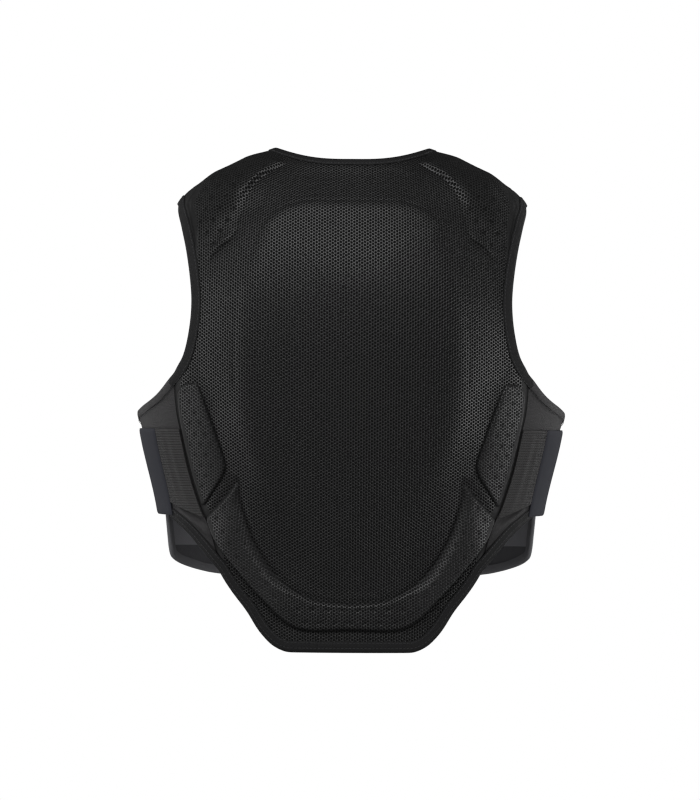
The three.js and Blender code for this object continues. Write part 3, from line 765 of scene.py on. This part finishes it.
# Woven cloths: name, thread in metres, roughness, shine and how much wider the threads run across.
WEAVES = {
    # Threads of 0.4 mm, drawn 0.9 mm wide so that they show.
    "stretch": ("Stretch polyester, woven", 0.0009, 0.65, 0.4),
    # Painted light: the lining is coloured far lighter, standing in for light on the inside of the front
    # panel.
    "lit_lining": ("Polyester lining, woven", 0.0009, 0.75, 0.3),
    "facing": ("Polyester facing, woven", 0.0009, 0.75, 0.3),
    # Fine cross threads of the elastic, 0.8 mm apart. Its ribs are in the shape.
    "elastic": ("Ribbed elastic, woven", 0.0008, 0.65, 0.4),
    # Grosgrain ribs of 0.8 mm across the tape.
    "tape": ("Polyester binding tape, woven", 0.0008, 0.7, 0.3, 0.5),
    # Painted light: a lighter copy of the binding tape, standing in for light on the front hem.
    "lit_hem_tape": ("Polyester lining tape, woven", 0.0008, 0.7, 0.3, 0.5),
}
MADE = {}


def make_material(key):
    colours, sizes = bpy.context.scene.vest_colours, bpy.context.scene.vest_sizes
    if key == "mesh":
        return spacer_mesh(colours, sizes.mesh_pitch)
    colour = (*getattr(colours, key), 1)
    if key == "strap":
        return brushed_loop(colour)
    if key == "thread":
        return fabric("Bonded polyester thread", 0.5, 0.4, colour)[0]
    return woven(colour, *WEAVES[key])


def material_for(key):
    if key not in MADE:
        MADE[key] = make_material(key)
    return MADE[key]


# Tapes and stitches

def resampled(places, values, spacing, closed):
    """Places at an even spacing along a line, the values that go with them, and how far along each is."""
    table = np.hstack([places, values])
    if closed:
        table = np.vstack([table, table[:1]])
    run = run_along(table[:, :3], 0)
    count = max(int(round(run[-1] / spacing)), 8)
    spots = np.linspace(0, run[-1], count + 1)[: -1 if closed else None]
    made = np.stack([np.interp(spots, run, column) for column in table.T], -1)
    return made[:, :3], made[:, 3:], spots


def smoothed(places, rounds, closed):
    """Evens out the corners of a line. Open ends stay."""
    for _ in range(rounds):
        before, after = np.roll(places, 1, axis=0), np.roll(places, -1, axis=0)
        moved = (before + 2 * places + after) / 4
        if not closed:
            moved[0], moved[-1] = places[0], places[-1]
        places = moved
    return places


def unevenness(spots, seed):
    """A hand-sewn tape's small unevenness along its length, between about -1 and 1."""
    draw = np.random.default_rng(seed)
    waves = zip(draw.uniform(9, 60, 6), draw.uniform(0, 2 * math.pi, 6))
    return sum(np.sin(2 * math.pi * spots / length + phase) for length, phase in waves) / 3


class TapeRun:
    """An edge of the vest that a tape is folded over: its places, frames, wall and the tape's thickness."""

    def __init__(self, places, wall, inside, closed, seed, flare=0.0):
        beside = np.stack([np.broadcast_to(value, len(places)) for value in (wall, flare)], -1)
        places, beside, self.spots = resampled(places, beside, TAPE_STEP, closed)
        wall, self.flare = beside.T
        self.places = onto_torso(smoothed(places, 3, closed))
        # The wall is evened out over some places to each side.
        beyond, count = 6, 13
        ends = np.pad(wall, beyond, mode="wrap" if closed else "edge")
        self.wall = np.convolve(ends, np.ones(count) / count, "valid")
        self.padded = (self.wall - STRETCH_WALL) / (PADDED_WALL - STRETCH_WALL)
        self.closed = closed
        self.uneven = unevenness(self.spots, seed)
        ahead, behind = np.roll(self.places, -1, axis=0), np.roll(self.places, 1, axis=0)
        if not closed:
            ahead[-1], behind[0] = self.places[-1], self.places[0]
        self.normal = outward(self.places)
        self.inward = unit(np.cross(self.normal, unit(ahead - behind)))
        if np.dot(self.inward[0], np.asarray(inside, float) - self.places[0]) < 0:
            self.inward = -self.inward
        # At the shoulder tips the tape is pulled flat.
        x, _, z = np.moveaxis(self.places, -1, 0)
        self.thick = TAPE * (1 - 0.6 * ramp(np.abs(x), 160, 180) * ramp(z, -95, -70))

    def on_flange(self, distance, height):
        """Places on the cloth, a distance in from the edge and a height above the torso."""
        distance = np.broadcast_to(distance, len(self.places))
        base = onto_torso(self.places + self.inward * distance[:, None])
        return lifted(base, height + self.flare * bell(distance, HEAD_FLARE_WIDTH))

    def past_edge(self, distance, height):
        return self.places - self.inward * distance + self.normal * (height + self.flare)[:, None]

    def seat(self, distance):
        """Height above the torso where the outer flange lies on the cloth, a distance in from the edge."""
        return self.wall + TAPE_SEAT - EDGE_DIP * self.padded * bell(distance, EDGE_DIP_WIDTH)


def tape_rings(run, width):
    """Rings of a folded tape, from the outer flange round the fold to the inner one and back inside."""
    wide = width * (0.7 + 0.3 * run.padded if run.closed else 1) + 0.3 * run.uneven
    puff = run.thick * (1 + 0.12 * np.roll(run.uneven, 7))
    under = np.full(len(run.places), -TAPE_CLEARANCE)

    def outside(share, height):
        return run.on_flange(share * wide, run.seat(share * wide) + height)

    rings = [outside(1, 0), outside(1, 0.7 * puff)]
    rings += [outside(0.88, puff), outside(0.45, 1.05 * puff), outside(0.15, puff)]
    top, low = run.seat(0) + run.thick, under - TAPE
    middle, reach = (top + low) / 2, (top - low) / 2
    for turn in np.radians([60, 30, 0, -30, -60]):
        past = (TAPE_CLEARANCE + TAPE + TAPE_ROUND) * np.cos(turn)
        rings.append(run.past_edge(past, middle + reach * np.sin(turn)))
    for share, height in ((0.15, low), (0.6, low), (1, under - 0.5 * TAPE), (1, under), (0.1, under)):
        rings.append(run.on_flange(share * wide, height))
    rings += [run.past_edge(0.4 * TAPE_CLEARANCE, middle), outside(0.1, 0)]
    return np.stack(rings, 1)


def tape_piece(name, run, width):
    """Tape folded over an edge, closed along its ring and, if the edge is, along its run."""
    rings = tape_rings(run, width)
    grid = np.concatenate([rings, rings[:, :1]], 1)
    spots = run.spots
    if run.closed:
        grid = np.concatenate([grid, grid[:1]], 0)
        spots = np.append(spots, spots[-1] + spots[1])
    around = run_along(grid, 1)
    piece = laid_grid(name, grid, np.stack([around, np.broadcast_to(spots[:, None], around.shape)], -1))
    bpy.ops.object.mode_set(mode="EDIT")
    bpy.ops.mesh.select_all(action="SELECT")
    bpy.ops.mesh.remove_doubles(threshold=1e-6)
    if not run.closed:
        bpy.ops.mesh.select_all(action="DESELECT")
        bpy.ops.mesh.select_non_manifold(extend=False)
        bpy.ops.mesh.fill()
    bpy.ops.mesh.select_all(action="SELECT")
    bpy.ops.mesh.normals_make_consistent(inside=False)
    bpy.ops.object.mode_set(mode="OBJECT")
    bpy.ops.object.shade_smooth_by_angle(angle=math.radians(TAPE_SMOOTH))
    return piece


def stitch_shape():
    """One stitch: a low rounded bead of thread, a unit long, wide and high, lying along X."""
    bpy.ops.object.select_all(action="DESELECT")
    bpy.ops.mesh.primitive_uv_sphere_add(segments=6, ring_count=4, radius=0.5, rotation=(0, math.pi / 2, 0))
    bead = bpy.context.object
    bpy.ops.object.transform_apply(location=True, rotation=True, scale=True)
    corners = np.array([v.co[:] for v in bead.data.vertices])
    faces = [tuple(p.vertices) for p in bead.data.polygons]
    bpy.data.objects.remove(bead)
    return corners, faces


def stitch_row(name, places, normals, closed=False):
    """A row of stitches along a line of places on the cloth, as one mesh."""
    sizes = bpy.context.scene.vest_sizes
    middle, up, _ = resampled(places, normals, sizes.stitch_pitch / MM, closed)
    ahead = unit(np.gradient(middle, axis=0))
    side = unit(np.cross(up, ahead))
    corners, faces = stitch_shape()
    shaped = corners * [sizes.stitch_length / MM, sizes.thread_width / MM, sizes.thread_width / MM]
    axes = np.stack([ahead, side, np.cross(ahead, side)], 1)
    placed = middle[:, None] + np.einsum("ck,nkd->ncd", shaped, axes)
    many = [tuple(i + k * len(corners) for i in face) for k in range(len(middle)) for face in faces]
    mesh = bpy.data.meshes.new(name)
    mesh.from_pydata((placed.reshape(-1, 3) * MM).tolist(), [], many)
    mesh.uv_layers.new(name=CLOTH_MAP)
    mesh.materials.append(material_for("thread"))
    row = bpy.data.objects.new(name, mesh)
    bpy.context.scene.collection.objects.link(row)
    return row


def join_rows(piece, rows):
    """Makes stitches part of the piece that they hold."""
    bpy.ops.object.select_all(action="DESELECT")
    for row in (*rows, piece):
        row.select_set(True)
    bpy.context.view_layer.objects.active = piece
    bpy.ops.object.join()


# Edges that tapes are folded over

def head_flare(share):
    """How far the head of the side panel stands off, by share of the way from the back seam."""
    return HEAD_FLARE * ramp(share, 0.38, 0.6)


def both_ways(half, middle):
    """A line that runs down one side, along the middle and up the other side."""
    return np.vstack([half, middle, (half * [-1, 1, 1])[::-1]])


def neck_run():
    behind, front_top = BACK_GRID[-1, NECK_COLUMNS], FRONT_GRID[-1]
    before = front_top[np.abs(front_top[:, 0]) <= NECK_HALF + 0.01][1:-1][::-1]
    return TapeRun(np.vstack([behind, before]), PADDED_WALL, on_back(0, CHEST), closed=True, seed=11)


def armhole_run(turn, seed):
    behind = back_edge(np.linspace(TIP_TOP, BACK_SEAM_HEAD, 90))
    up = np.linspace(FRONT_SEAM_HEAD, TIP_TOP, 90)
    before = front_edge(up)
    share = np.linspace(0, 1, 60)[2:-2]
    under = side_grid(2, 60)[-1][2:-2]
    places = np.vstack([behind, under, before]) * [turn, 1, 1]
    wall = np.full(len(places), float(PADDED_WALL))
    wall[len(behind) : -len(before)] = STRETCH_WALL
    flare = [np.zeros(len(behind)), head_flare(share), HEAD_FLARE * ramp(up, -270, FRONT_SEAM_HEAD)]
    return TapeRun(places, wall, (0, 0, TIP_TOP), closed=True, seed=seed, flare=np.concatenate(flare))


def hem_run():
    wing = side_grid(2, 60)[0][::-1]
    tail = back_edge(np.linspace(BACK_SEAM_FOOT, BACK_EDGE[0, 0], 60)[1:])
    places = both_ways(np.vstack([wing, tail]), BACK_GRID[0][1:-1][::-1])
    away = np.linalg.norm(wing - wing[-1], axis=1)
    wall = np.full(len(places), float(PADDED_WALL))
    wall[: len(wing)] = blend(PADDED_WALL, STRETCH_WALL, ramp(away, 20, 40))
    wall[-len(wing) :] = wall[: len(wing)][::-1]
    return TapeRun(places, wall, side_grid(2, 3)[-1][-1], closed=False, seed=13)


def front_hem_run():
    edge = front_edge(np.linspace(FRONT_TAPE_HEAD, FRONT_EDGE[0, 0], 50))
    places = both_ways(edge, FRONT_GRID[0][1:-1][::-1])
    return TapeRun(places, PADDED_WALL, (0, edge[0, 1], edge[0, 2]), closed=False, seed=14)


# Pads

def foam_pad(node, rise, shut_and_shade=0.0, highlight_fill=0.0):
    """A foam pad under the mesh, on the back panel and rising from its rim. Its mesh may be darkened as
    painted shade, and its holes filled in as painted highlight.
    """
    grid, measure = PAD_GRIDS[node], PAD_MEASURES[node]
    foot = panel_lift(grid, measure)
    outer, inner = lifted(grid, foot + PAD_SKIN + rise), lifted(grid, foot + PAD_GAP)
    piece = cloth_piece(f"vest_{node}", outer, inner, measure)
    crease_shade_and_seams, closed = pressing_and_shade(grid, measure)
    press_and_shade(piece, np.maximum(crease_shade_and_seams, shut_and_shade), np.maximum(closed, highlight_fill))
    finish_piece(piece, node, "mesh")


def foam_pads(name, *fields):
    """The same foam pad on both sides, from fields on the right-hand one."""
    for side, turn in SIDES.items():
        foam_pad(f"{name}_{side}", *[field[:, ::turn] for field in fields])


def perforations(measure, origin, allowed, spacing, row_step, size):
    """Foam perforations in staggered rows where they are allowed: 1 in a hole's middle, 0 away from it."""
    along, up = measure[..., 0] - origin[0], measure[..., 1] - origin[1]
    row = np.round(up / row_step)
    off = along / spacing - 0.5 * (row % 2)
    apart = np.hypot((off - np.round(off)) * spacing, up - row * row_step)
    return ramp(apart, 0.75 * size, 0.25 * size) * allowed


def middle_of(measure):
    return measure[measure.shape[0] // 2, measure.shape[1] // 2]


def length_prop(name, description, default):
    return bpy.props.FloatProperty(name=name, description=description, default=default, unit="LENGTH", min=0)


def colour_prop(name, description, default):
    return bpy.props.FloatVectorProperty(
        name=name, description=description, default=linear(default)[:3],
        subtype="COLOR", size=3, min=0, max=1,
    )


class VestSizes(bpy.types.PropertyGroup):
    shield_height: length_prop("Shield height", "Thickness of the back shield's foam", 0.017)
    lumbar_height: length_prop("Lumbar height", "Thickness of the band under the shield", 0.009)
    side_pad_height: length_prop("Side pad height", "Thickness of the pads beside the waist", 0.0034)
    shoulder_pad_height: length_prop("Shoulder pad height", "Thickness of the pads on the shoulders", 0.0055)
    tape_width: length_prop("Tape width", "Visible width of the binding tape", 0.010)
    neck_tape_width: length_prop("Neck tape width", "Visible width of the tape at the neck", 0.007)
    mesh_pitch: length_prop("Mesh pitch", "Distance from one mesh hole to the next", 0.0035)
    rib_pitch: length_prop("Rib pitch", "Distance from one rib of the elastic to the next", 0.0028)
    stitch_pitch: length_prop("Stitch pitch", "Distance from one stitch to the next", 0.0042)
    stitch_length: length_prop("Stitch length", "Visible length of one stitch", 0.0034)
    thread_width: length_prop("Thread width", "Thickness of the sewing thread", 0.0007)


class VestColours(bpy.types.PropertyGroup):
    mesh_yarn: colour_prop("Mesh yarn", "Yarn of the mesh on the back", "#101011")
    # Painted shade in the depth of the mesh's holes.
    mesh_hole_shade: colour_prop("Mesh hole", "Depth of the mesh's holes", "#0a0a0a")
    stretch: colour_prop("Stretch cloth", "Side and front panels", "#2b2a2b")
    # Painted light: coloured far lighter, standing in for light on the inside of the front panel.
    lit_lining: colour_prop("Lining", "Inside of the front panel", "#828286")
    facing: colour_prop("Facing", "Darker strip inside the front panel's hem", "#545457")
    elastic: colour_prop("Elastic", "Ribbed elastic on the sides", "#2e2d2d")
    strap: colour_prop("Strap", "Loop straps round the waist", "#2c2d34")
    tape: colour_prop("Tape", "Binding round all edges", "#0d0d0e")
    # Painted light: the binding tape coloured lighter, for the light on the front hem.
    lit_hem_tape: colour_prop("Front hem tape", "Binding of the front panel's hem", "#68686b")
    thread: colour_prop("Thread", "Stitching", "#303032")


class VEST_OT_back_panel(bpy.types.Operator):
    """Padded mesh panel of the back, from the neck and shoulder ridge to the tail"""

    bl_idname = "vest.back_panel"
    bl_label = "Back Panel"

    def execute(self, context):
        measure = BACK_CLOTH.measure
        lift = blend(RIM_WALL, panel_lift(BACK_GRID, measure), rim_share(BACK_GRID, 3, panel=True))
        piece = cloth_piece("vest_back_panel", lifted(BACK_GRID, lift), BACK_GRID, measure)
        # Its mesh is darkened as painted shade along the creases.
        press_and_shade(piece, *pressing_and_shade(BACK_GRID, measure))
        finish_piece(piece, "back_panel", "mesh")
        return {"FINISHED"}


class VEST_OT_back_shield(bpy.types.Operator):
    """Large egg-shaped foam plate of the back, with a soft rim and a crowned top"""

    bl_idname = "vest.back_shield"
    bl_label = "Back Shield"

    def execute(self, context):
        grid, measure = PAD_GRIDS["back_shield"], PAD_MEASURES["back_shield"]
        height = context.scene.vest_sizes.shield_height / MM
        distance = np.maximum(inside_face(grid, measure), 0)
        lower, upper = ramp(grid[..., 2], -385, -465), ramp(grid[..., 2], -120, -80)
        # A step round the face, lower and narrower at the top, wide at the foot. A crown fills the rest.
        side_step, top_step, crown_reach = 3.6, 2.6, 105
        side_width, top_width, foot_width = 23, 11, 34
        step = blend(side_step, top_step, upper)
        width = blend(blend(side_width, top_width, upper), foot_width, lower)
        flank = step * swell(distance, width, power=1.9)
        crown = (height - taut_rise(grid, measure) - step) * ramp(distance, 0, crown_reach)
        foam_pad("back_shield", flank + crown)
        return {"FINISHED"}


class VEST_OT_lumbar_pad(bpy.types.Operator):
    """Smile-shaped foam band round the foot of the shield, with pointed tips and perforations"""

    bl_idname = "vest.lumbar_pad"
    bl_label = "Lumbar Pad"

    def execute(self, context):
        measure, x = LUMBAR_CLOTH, np.abs(PAD_GRIDS["lumbar_pad"][..., 0])
        height = context.scene.vest_sizes.lumbar_height / MM
        from_outer, from_inner = distance_to(measure, measure[0]), distance_to(measure, measure[-1])
        tips = np.minimum(distance_to(measure, measure[:, 0]), distance_to(measure, measure[:, -1]))
        aside = ramp(x, 50, 90)
        # Along the middle its inner edge is low and crisp, on both sides a wide flank.
        share, width, power = blend(0.42, 0.85, aside), blend(5, 11, aside), blend(1.5, 1.8, aside)
        rise = height * share * swell(from_inner, width, power)
        rise = (rise + 1.5 * ramp(from_inner, 0, 24)) * swell(from_outer, 5)
        rise *= blend(0.65, 1, ramp(tips, 0, 45)) * blend(swell(tips, 5, 1.4), ramp(tips, 0, 28), 0.25)
        allowed = blend(0.45, 1, ramp(x, 66, 56)) * ramp(tips, 5, 8)
        allowed *= ramp(from_outer, 4, 6) * ramp(from_inner, 5, 7)
        origin = (0, measure[0, measure.shape[1] // 2, 1] + 9)
        holes = perforations(measure, origin, allowed, spacing=16, row_step=14, size=4.5)
        # Painted highlight: over the sides, and most along the ends of the tips, the mesh's holes are filled
        # in so that it looks lighter. Painted shade darkens the perforations.
        lumbar_highlight = np.maximum(0.32 * aside * (1 - holes), 0.62 * bell(tips - 2.4, 2))
        foam_pad("lumbar_pad", np.maximum(rise - holes, 0), 0.5 * holes, lumbar_highlight)
        return {"FINISHED"}


class VEST_OT_side_pads(bpy.types.Operator):
    """Narrow foam pads beside the waist, along the seam of the side panels"""

    bl_idname = "vest.side_pads"
    bl_label = "Side Pads"

    def execute(self, context):
        height = context.scene.vest_sizes.side_pad_height / MM
        measure = PAD_MEASURES["side_pad_right"]
        distance, from_outer = distance_to(measure, border(measure)), distance_to(measure, measure[:, -1])
        # The face leans out, so it is thicker towards the shield.
        lean = blend(0.4, 1, np.clip(from_outer / 34, 0, 1))
        allowed = 0.6 * ramp(distance, 5, 8)
        holes = perforations(measure, middle_of(measure), allowed, spacing=13, row_step=11.5, size=4)
        rise = height * lean * swell(distance, 2.8) - 0.5 * holes
        # Painted shade darkens the perforations, and a painted highlight fills in part of the face's holes
        # so that it looks lighter.
        foam_pads("side_pad", rise, 0.4 * holes, 0.3 - 0.3 * holes)
        return {"FINISHED"}


class VEST_OT_shoulder_pads(bpy.types.Operator):
    """Perforated foam pads laid over the shoulder ridge, feathered where they run out to the armhole"""

    bl_idname = "vest.shoulder_pads"
    bl_label = "Shoulder Pads"

    def execute(self, context):
        height = context.scene.vest_sizes.shoulder_pad_height / MM
        measure, angle = PAD_MEASURES["shoulder_pad_right"], SHOULDER_ANGLES[:, None]
        from_inner, from_outer = distance_to(measure, measure[:, 0]), distance_to(measure, measure[:, -1])
        from_foot, from_end = distance_to(measure, measure[0]), distance_to(measure, measure[-1])
        crisp, quick = through(SHOULDER_RIM, angle)
        top = blend(0.5, 1, ramp(angle, -58, -46)) * blend(1, 0.8, ramp(angle, -45, -5))
        rise = height * top * blend(ramp(from_inner, 0, 36), ramp(from_inner, 0, crisp), quick)
        feather = blend(34, 22, ramp(angle, -35, -10))
        rise = rise * ramp(from_outer, 0, feather) * ramp(from_end, 0, 20) * swell(from_foot, 6)
        # A narrow welt along the upper part of the inner edge.
        welt = ramp(angle, -66, -60) * ramp(angle, -37.5, -39) * bell(from_inner - 3, 2.2)
        allowed = ramp(from_inner, 7, 10) * ramp(from_outer, 3, 6)
        holes = perforations(measure, middle_of(measure), allowed, spacing=15.5, row_step=13.5, size=4.5)
        # Painted shade: the mesh over the shoulder and its perforations are darkened.
        drawn = 0.5 * ramp(angle, -70, -50) * ramp(from_inner, 6, 14)
        rise = np.maximum(rise + 0.25 * welt - 0.9 * holes, 0)
        foam_pads("shoulder_pad", rise, np.maximum(0.85 * holes, drawn))
        return {"FINISHED"}


class VEST_OT_side_panels(bpy.types.Operator):
    """Smooth stretch cloth between the back seam and the front panel, with small folds under the elastic"""

    bl_idname = "vest.side_panels"
    bl_label = "Side Panels"

    def execute(self, context):
        right = side_grid(rows=97, columns=61)
        share = np.linspace(0, 1, right.shape[1])
        from_head = np.linalg.norm(right - right[-1], axis=-1)
        foot = head_flare(share) * bell(from_head, HEAD_FLARE_WIDTH)
        foot = foot + self.folds(share, right[..., 2]) * rim_share(right, 5)
        for side, turn in SIDES.items():
            sheet_piece(f"side_panel_{side}", sided(right, turn), foot[:, ::turn], STRETCH_WALL,
                        "stretch")
        return {"FINISHED"}

    def folds(self, share, z):
        """Two slack folds that run from the seam towards the strap, below the elastic."""
        height = np.zeros(z.shape)
        for start, slope, depth, width in ((-411, 26, -2.2, 3.6), (-423, 40, 1.8, 4.5)):
            line = start + slope * share / 0.3
            height += depth * bell(z - line, width) * ramp(share, 0.34, 0.24)
        return height


class VEST_OT_side_elastics(bpy.types.Operator):
    """Ribbed elastic bands sewn on the side panels, with their stitching"""

    bl_idname = "vest.side_elastics"
    bl_label = "Side Elastics"

    def execute(self, context):
        right = elastic_grid(rows=241, columns=25)
        ribs = 2 * math.pi * right[..., 2] / (context.scene.vest_sizes.rib_pitch / MM)
        wall = ELASTIC_WALL + RIB_HALF * np.cos(ribs)
        foot = STRETCH_WALL + LAY_GAP + self.slack(*right.shape[:2])
        for side, turn in SIDES.items():
            grid = sided(right, turn)
            piece = sheet_piece(f"side_elastic_{side}", grid, foot[:, ::turn], wall[:, ::turn],
                                "elastic")
            face, out = lifted(grid, (foot + wall)[:, ::turn])[:, ::turn], outward(grid)[:, ::turn]
            # Along its foot and head, and twice along its end.
            lines = [np.s_[12], np.s_[-12], np.s_[:, -3], np.s_[:, -6]]
            name = f"elastic_{side}_stitches"
            join_rows(piece, [stitch_row(f"{name}_{i}", face[l], out[l]) for i, l in enumerate(lines)])
        return {"FINISHED"}

    def slack(self, rows, columns):
        """Height of the soft upright folds where the elastic isn't drawn tight."""
        climb = np.linspace(0, 1, rows)[:, None]
        share = np.linspace(0, 1, columns)
        height = np.zeros((rows, columns))
        for place, lean, depth, width in ((0.3, 0.12, 0.9, 0.09), (0.66, 0.06, 0.7, 0.08)):
            height += depth * bell(share - place - lean * climb, width)
        return height * np.sin(math.pi * climb) ** 0.6 * ramp(np.minimum(share, 1 - share), 0, 0.15)


class VEST_OT_waist_straps(bpy.types.Operator):
    """Loop straps from the elastics round to the front panel"""

    bl_idname = "vest.waist_straps"
    bl_label = "Waist Straps"

    def execute(self, context):
        right, lift = strap_grid(rows=41, columns=121)
        wall = STRAP_WALL * blend(0.55, 1, rim_share(right, 2))
        foot = np.broadcast_to(lift, wall.shape)
        for side, turn in SIDES.items():
            sheet_piece(f"waist_strap_{side}", sided(right, turn), foot[:, ::turn], wall[:, ::turn],
                        "strap")
        return {"FINISHED"}


class VEST_OT_front_panel(bpy.types.Operator):
    """Plain front panel with rounded lower corners"""

    bl_idname = "vest.front_panel"
    bl_label = "Front Panel"

    def execute(self, context):
        grid = FRONT_GRID[:, ::-1]
        dip = EDGE_DIP * bell(way_to_edge(grid), EDGE_DIP_WIDTH)
        lift = blend(RIM_WALL, PADDED_WALL - dip, rim_share(grid, 3, panel=True))
        piece = cloth_piece("vest_front_panel", lifted(grid, lift), grid, own_measure(grid))
        finish_piece(piece, "front_panel", "stretch")
        self.line_inside(piece, np.broadcast_to(grid[:, :1, 2] > FACING_TOP, grid.shape[:2]).ravel())
        return {"FINISHED"}

    def line_inside(self, piece, lined):
        """Gives the inner side the lining, painted lighter as light on it, and the facing along its hem."""
        for material in ("lit_lining", "facing"):
            piece.data.materials.append(material_for(material))
        for face in piece.data.polygons:
            low = min(face.vertices) - lined.size
            if low >= 0:
                face.material_index = 1 if lined[low] else 2


class VEST_OT_bindings(bpy.types.Operator):
    """Folded tapes round the neck, the armholes and the hems, with their stitching"""

    bl_idname = "vest.bindings"
    bl_label = "Bindings"

    def execute(self, context):
        sizes = context.scene.vest_sizes
        wide, narrow = sizes.tape_width / MM, sizes.neck_tape_width / MM
        self.tape("neck_binding", neck_run(), narrow)
        for side, seed in (("right", 12), ("left", 15)):
            self.tape(f"armhole_binding_{side}", armhole_run(SIDES[side], seed), wide)
        self.tape("hem_binding", hem_run(), wide, rows=2)
        # The front hem's tape is painted lighter, as light on it.
        self.tape("front_hem_binding", front_hem_run(), narrow, "lit_hem_tape")
        return {"FINISHED"}

    def self_bound(self, piece):
        """Along the head of the side panel the binding is of the panel's own cloth."""
        piece.data.materials.append(material_for("stretch"))
        for face in piece.data.polygons:
            _, y, z = np.array(face.center) / MM
            if z < BACK_SEAM_HEAD - 3 and OWN_CLOTH_BACK < y < OWN_CLOTH_FRONT:
                face.material_index = 1

    def tape(self, node, run, width, material="tape", rows=1):
        piece = tape_piece(f"vest_{node}", run, width)
        finish_piece(piece, node, material)
        if node.startswith("armhole"):
            self.self_bound(piece)
        made = []
        for number, inset in enumerate((width - STITCH_INSET, SECOND_ROW * width)[:rows]):
            places = run.on_flange(inset, run.seat(inset) + run.thick)
            made.append(stitch_row(f"{node}_stitches_{number}", places, run.normal, run.closed))
        join_rows(piece, made)


class VEST_OT_stage(bpy.types.Operator):
    """Pale floor, soft studio light and the camera"""

    bl_idname = "vest.stage"
    bl_label = "Stage"

    def execute(self, context):
        self.floor()
        for name, (place, size, power) in LIGHTS.items():
            self.light(name, place, size, power)
        self.room(context.scene)
        self.camera(context.scene)
        return {"FINISHED"}

    def floor(self):
        """It only sends light back up. The camera sees white paper below the vest."""
        bpy.ops.object.select_all(action="DESELECT")
        place = (0, 0, FLOOR_HEIGHT)
        bpy.ops.mesh.primitive_circle_add(vertices=96, radius=FLOOR_RADIUS, fill_type="NGON", location=place)
        floor = bpy.context.object
        floor.name = "studio_floor"
        bpy.ops.object.transform_apply(location=True, rotation=True, scale=True)
        floor.data.materials.append(fabric("Painted floor", 0.8, 0.2, linear(FLOOR_COLOUR))[0])
        floor.visible_camera = False

    def light(self, name, place, size, power):
        bpy.ops.object.light_add(type="AREA", location=place)
        lamp = bpy.context.object
        lamp.name = f"studio_{name}"
        lamp.data.shape = "RECTANGLE"
        lamp.data.size, lamp.data.size_y = size
        lamp.data.energy = power
        lamp.rotation_euler = (LIT_PLACE - lamp.location).to_track_quat("-Z", "Y").to_euler()

    def room(self, scene):
        """The camera sees white paper. The room itself is dimmer."""
        scene.world = bpy.data.worlds.new("Studio")
        scene.world.use_nodes = True
        tree = scene.world.node_tree
        seen = add_node(tree, "ShaderNodeLightPath", out="Is Camera Ray")
        tone = add_node(tree, "ShaderNodeMapRange", {"Value": seen, "To Min": ROOM_LIGHT, "To Max": 1.0})
        ground = tree.nodes["Background"]
        ground.inputs["Color"].default_value = (1, 1, 1, 1)
        tree.links.new(tone, ground.inputs["Strength"])
        scene.view_settings.view_transform = "Standard"
        scene.cycles.filter_width = 1.3

    def camera(self, scene):
        turn = [math.radians(angle) for angle in CAMERA_TURN]
        bpy.ops.object.camera_add(location=CAMERA_PLACE, rotation=turn)
        scene.camera = bpy.context.object
        scene.camera.data.lens = CAMERA_LENS
        scene.camera.data.sensor_width = 36
        scene.camera.data.sensor_fit = "AUTO"


class VEST_PT_build(bpy.types.Panel):
    """Lists the steps of the vest with its sizes and colours"""

    bl_idname = "VEST_PT_build"
    bl_label = "Protective Vest"
    bl_space_type = "VIEW_3D"
    bl_region_type = "UI"
    bl_category = "Vest"

    def draw(self, context):
        layout = self.layout
        for operator in STEPS:
            layout.operator(operator.bl_idname)
        for group in (context.scene.vest_sizes, context.scene.vest_colours):
            box = layout.box()
            for name in group.__annotations__:
                box.prop(group, name)


STEPS = (
    VEST_OT_back_panel,
    VEST_OT_back_shield,
    VEST_OT_lumbar_pad,
    VEST_OT_side_pads,
    VEST_OT_shoulder_pads,
    VEST_OT_side_panels,
    VEST_OT_side_elastics,
    VEST_OT_waist_straps,
    VEST_OT_front_panel,
    VEST_OT_bindings,
    VEST_OT_stage,
)
CLASSES = (VestSizes, VestColours, *STEPS, VEST_PT_build)


def register():
    for made in CLASSES:
        bpy.utils.register_class(made)
    bpy.types.Scene.vest_sizes = bpy.props.PointerProperty(type=VestSizes)
    bpy.types.Scene.vest_colours = bpy.props.PointerProperty(type=VestColours)


def unregister():
    del bpy.types.Scene.vest_sizes
    del bpy.types.Scene.vest_colours
    for made in reversed(CLASSES):
        bpy.utils.unregister_class(made)


def main():
    register()
    for operator in STEPS:
        group, name = operator.bl_idname.split(".")
        getattr(getattr(bpy.ops, group), name)()


if __name__ == "__main__":
    main()
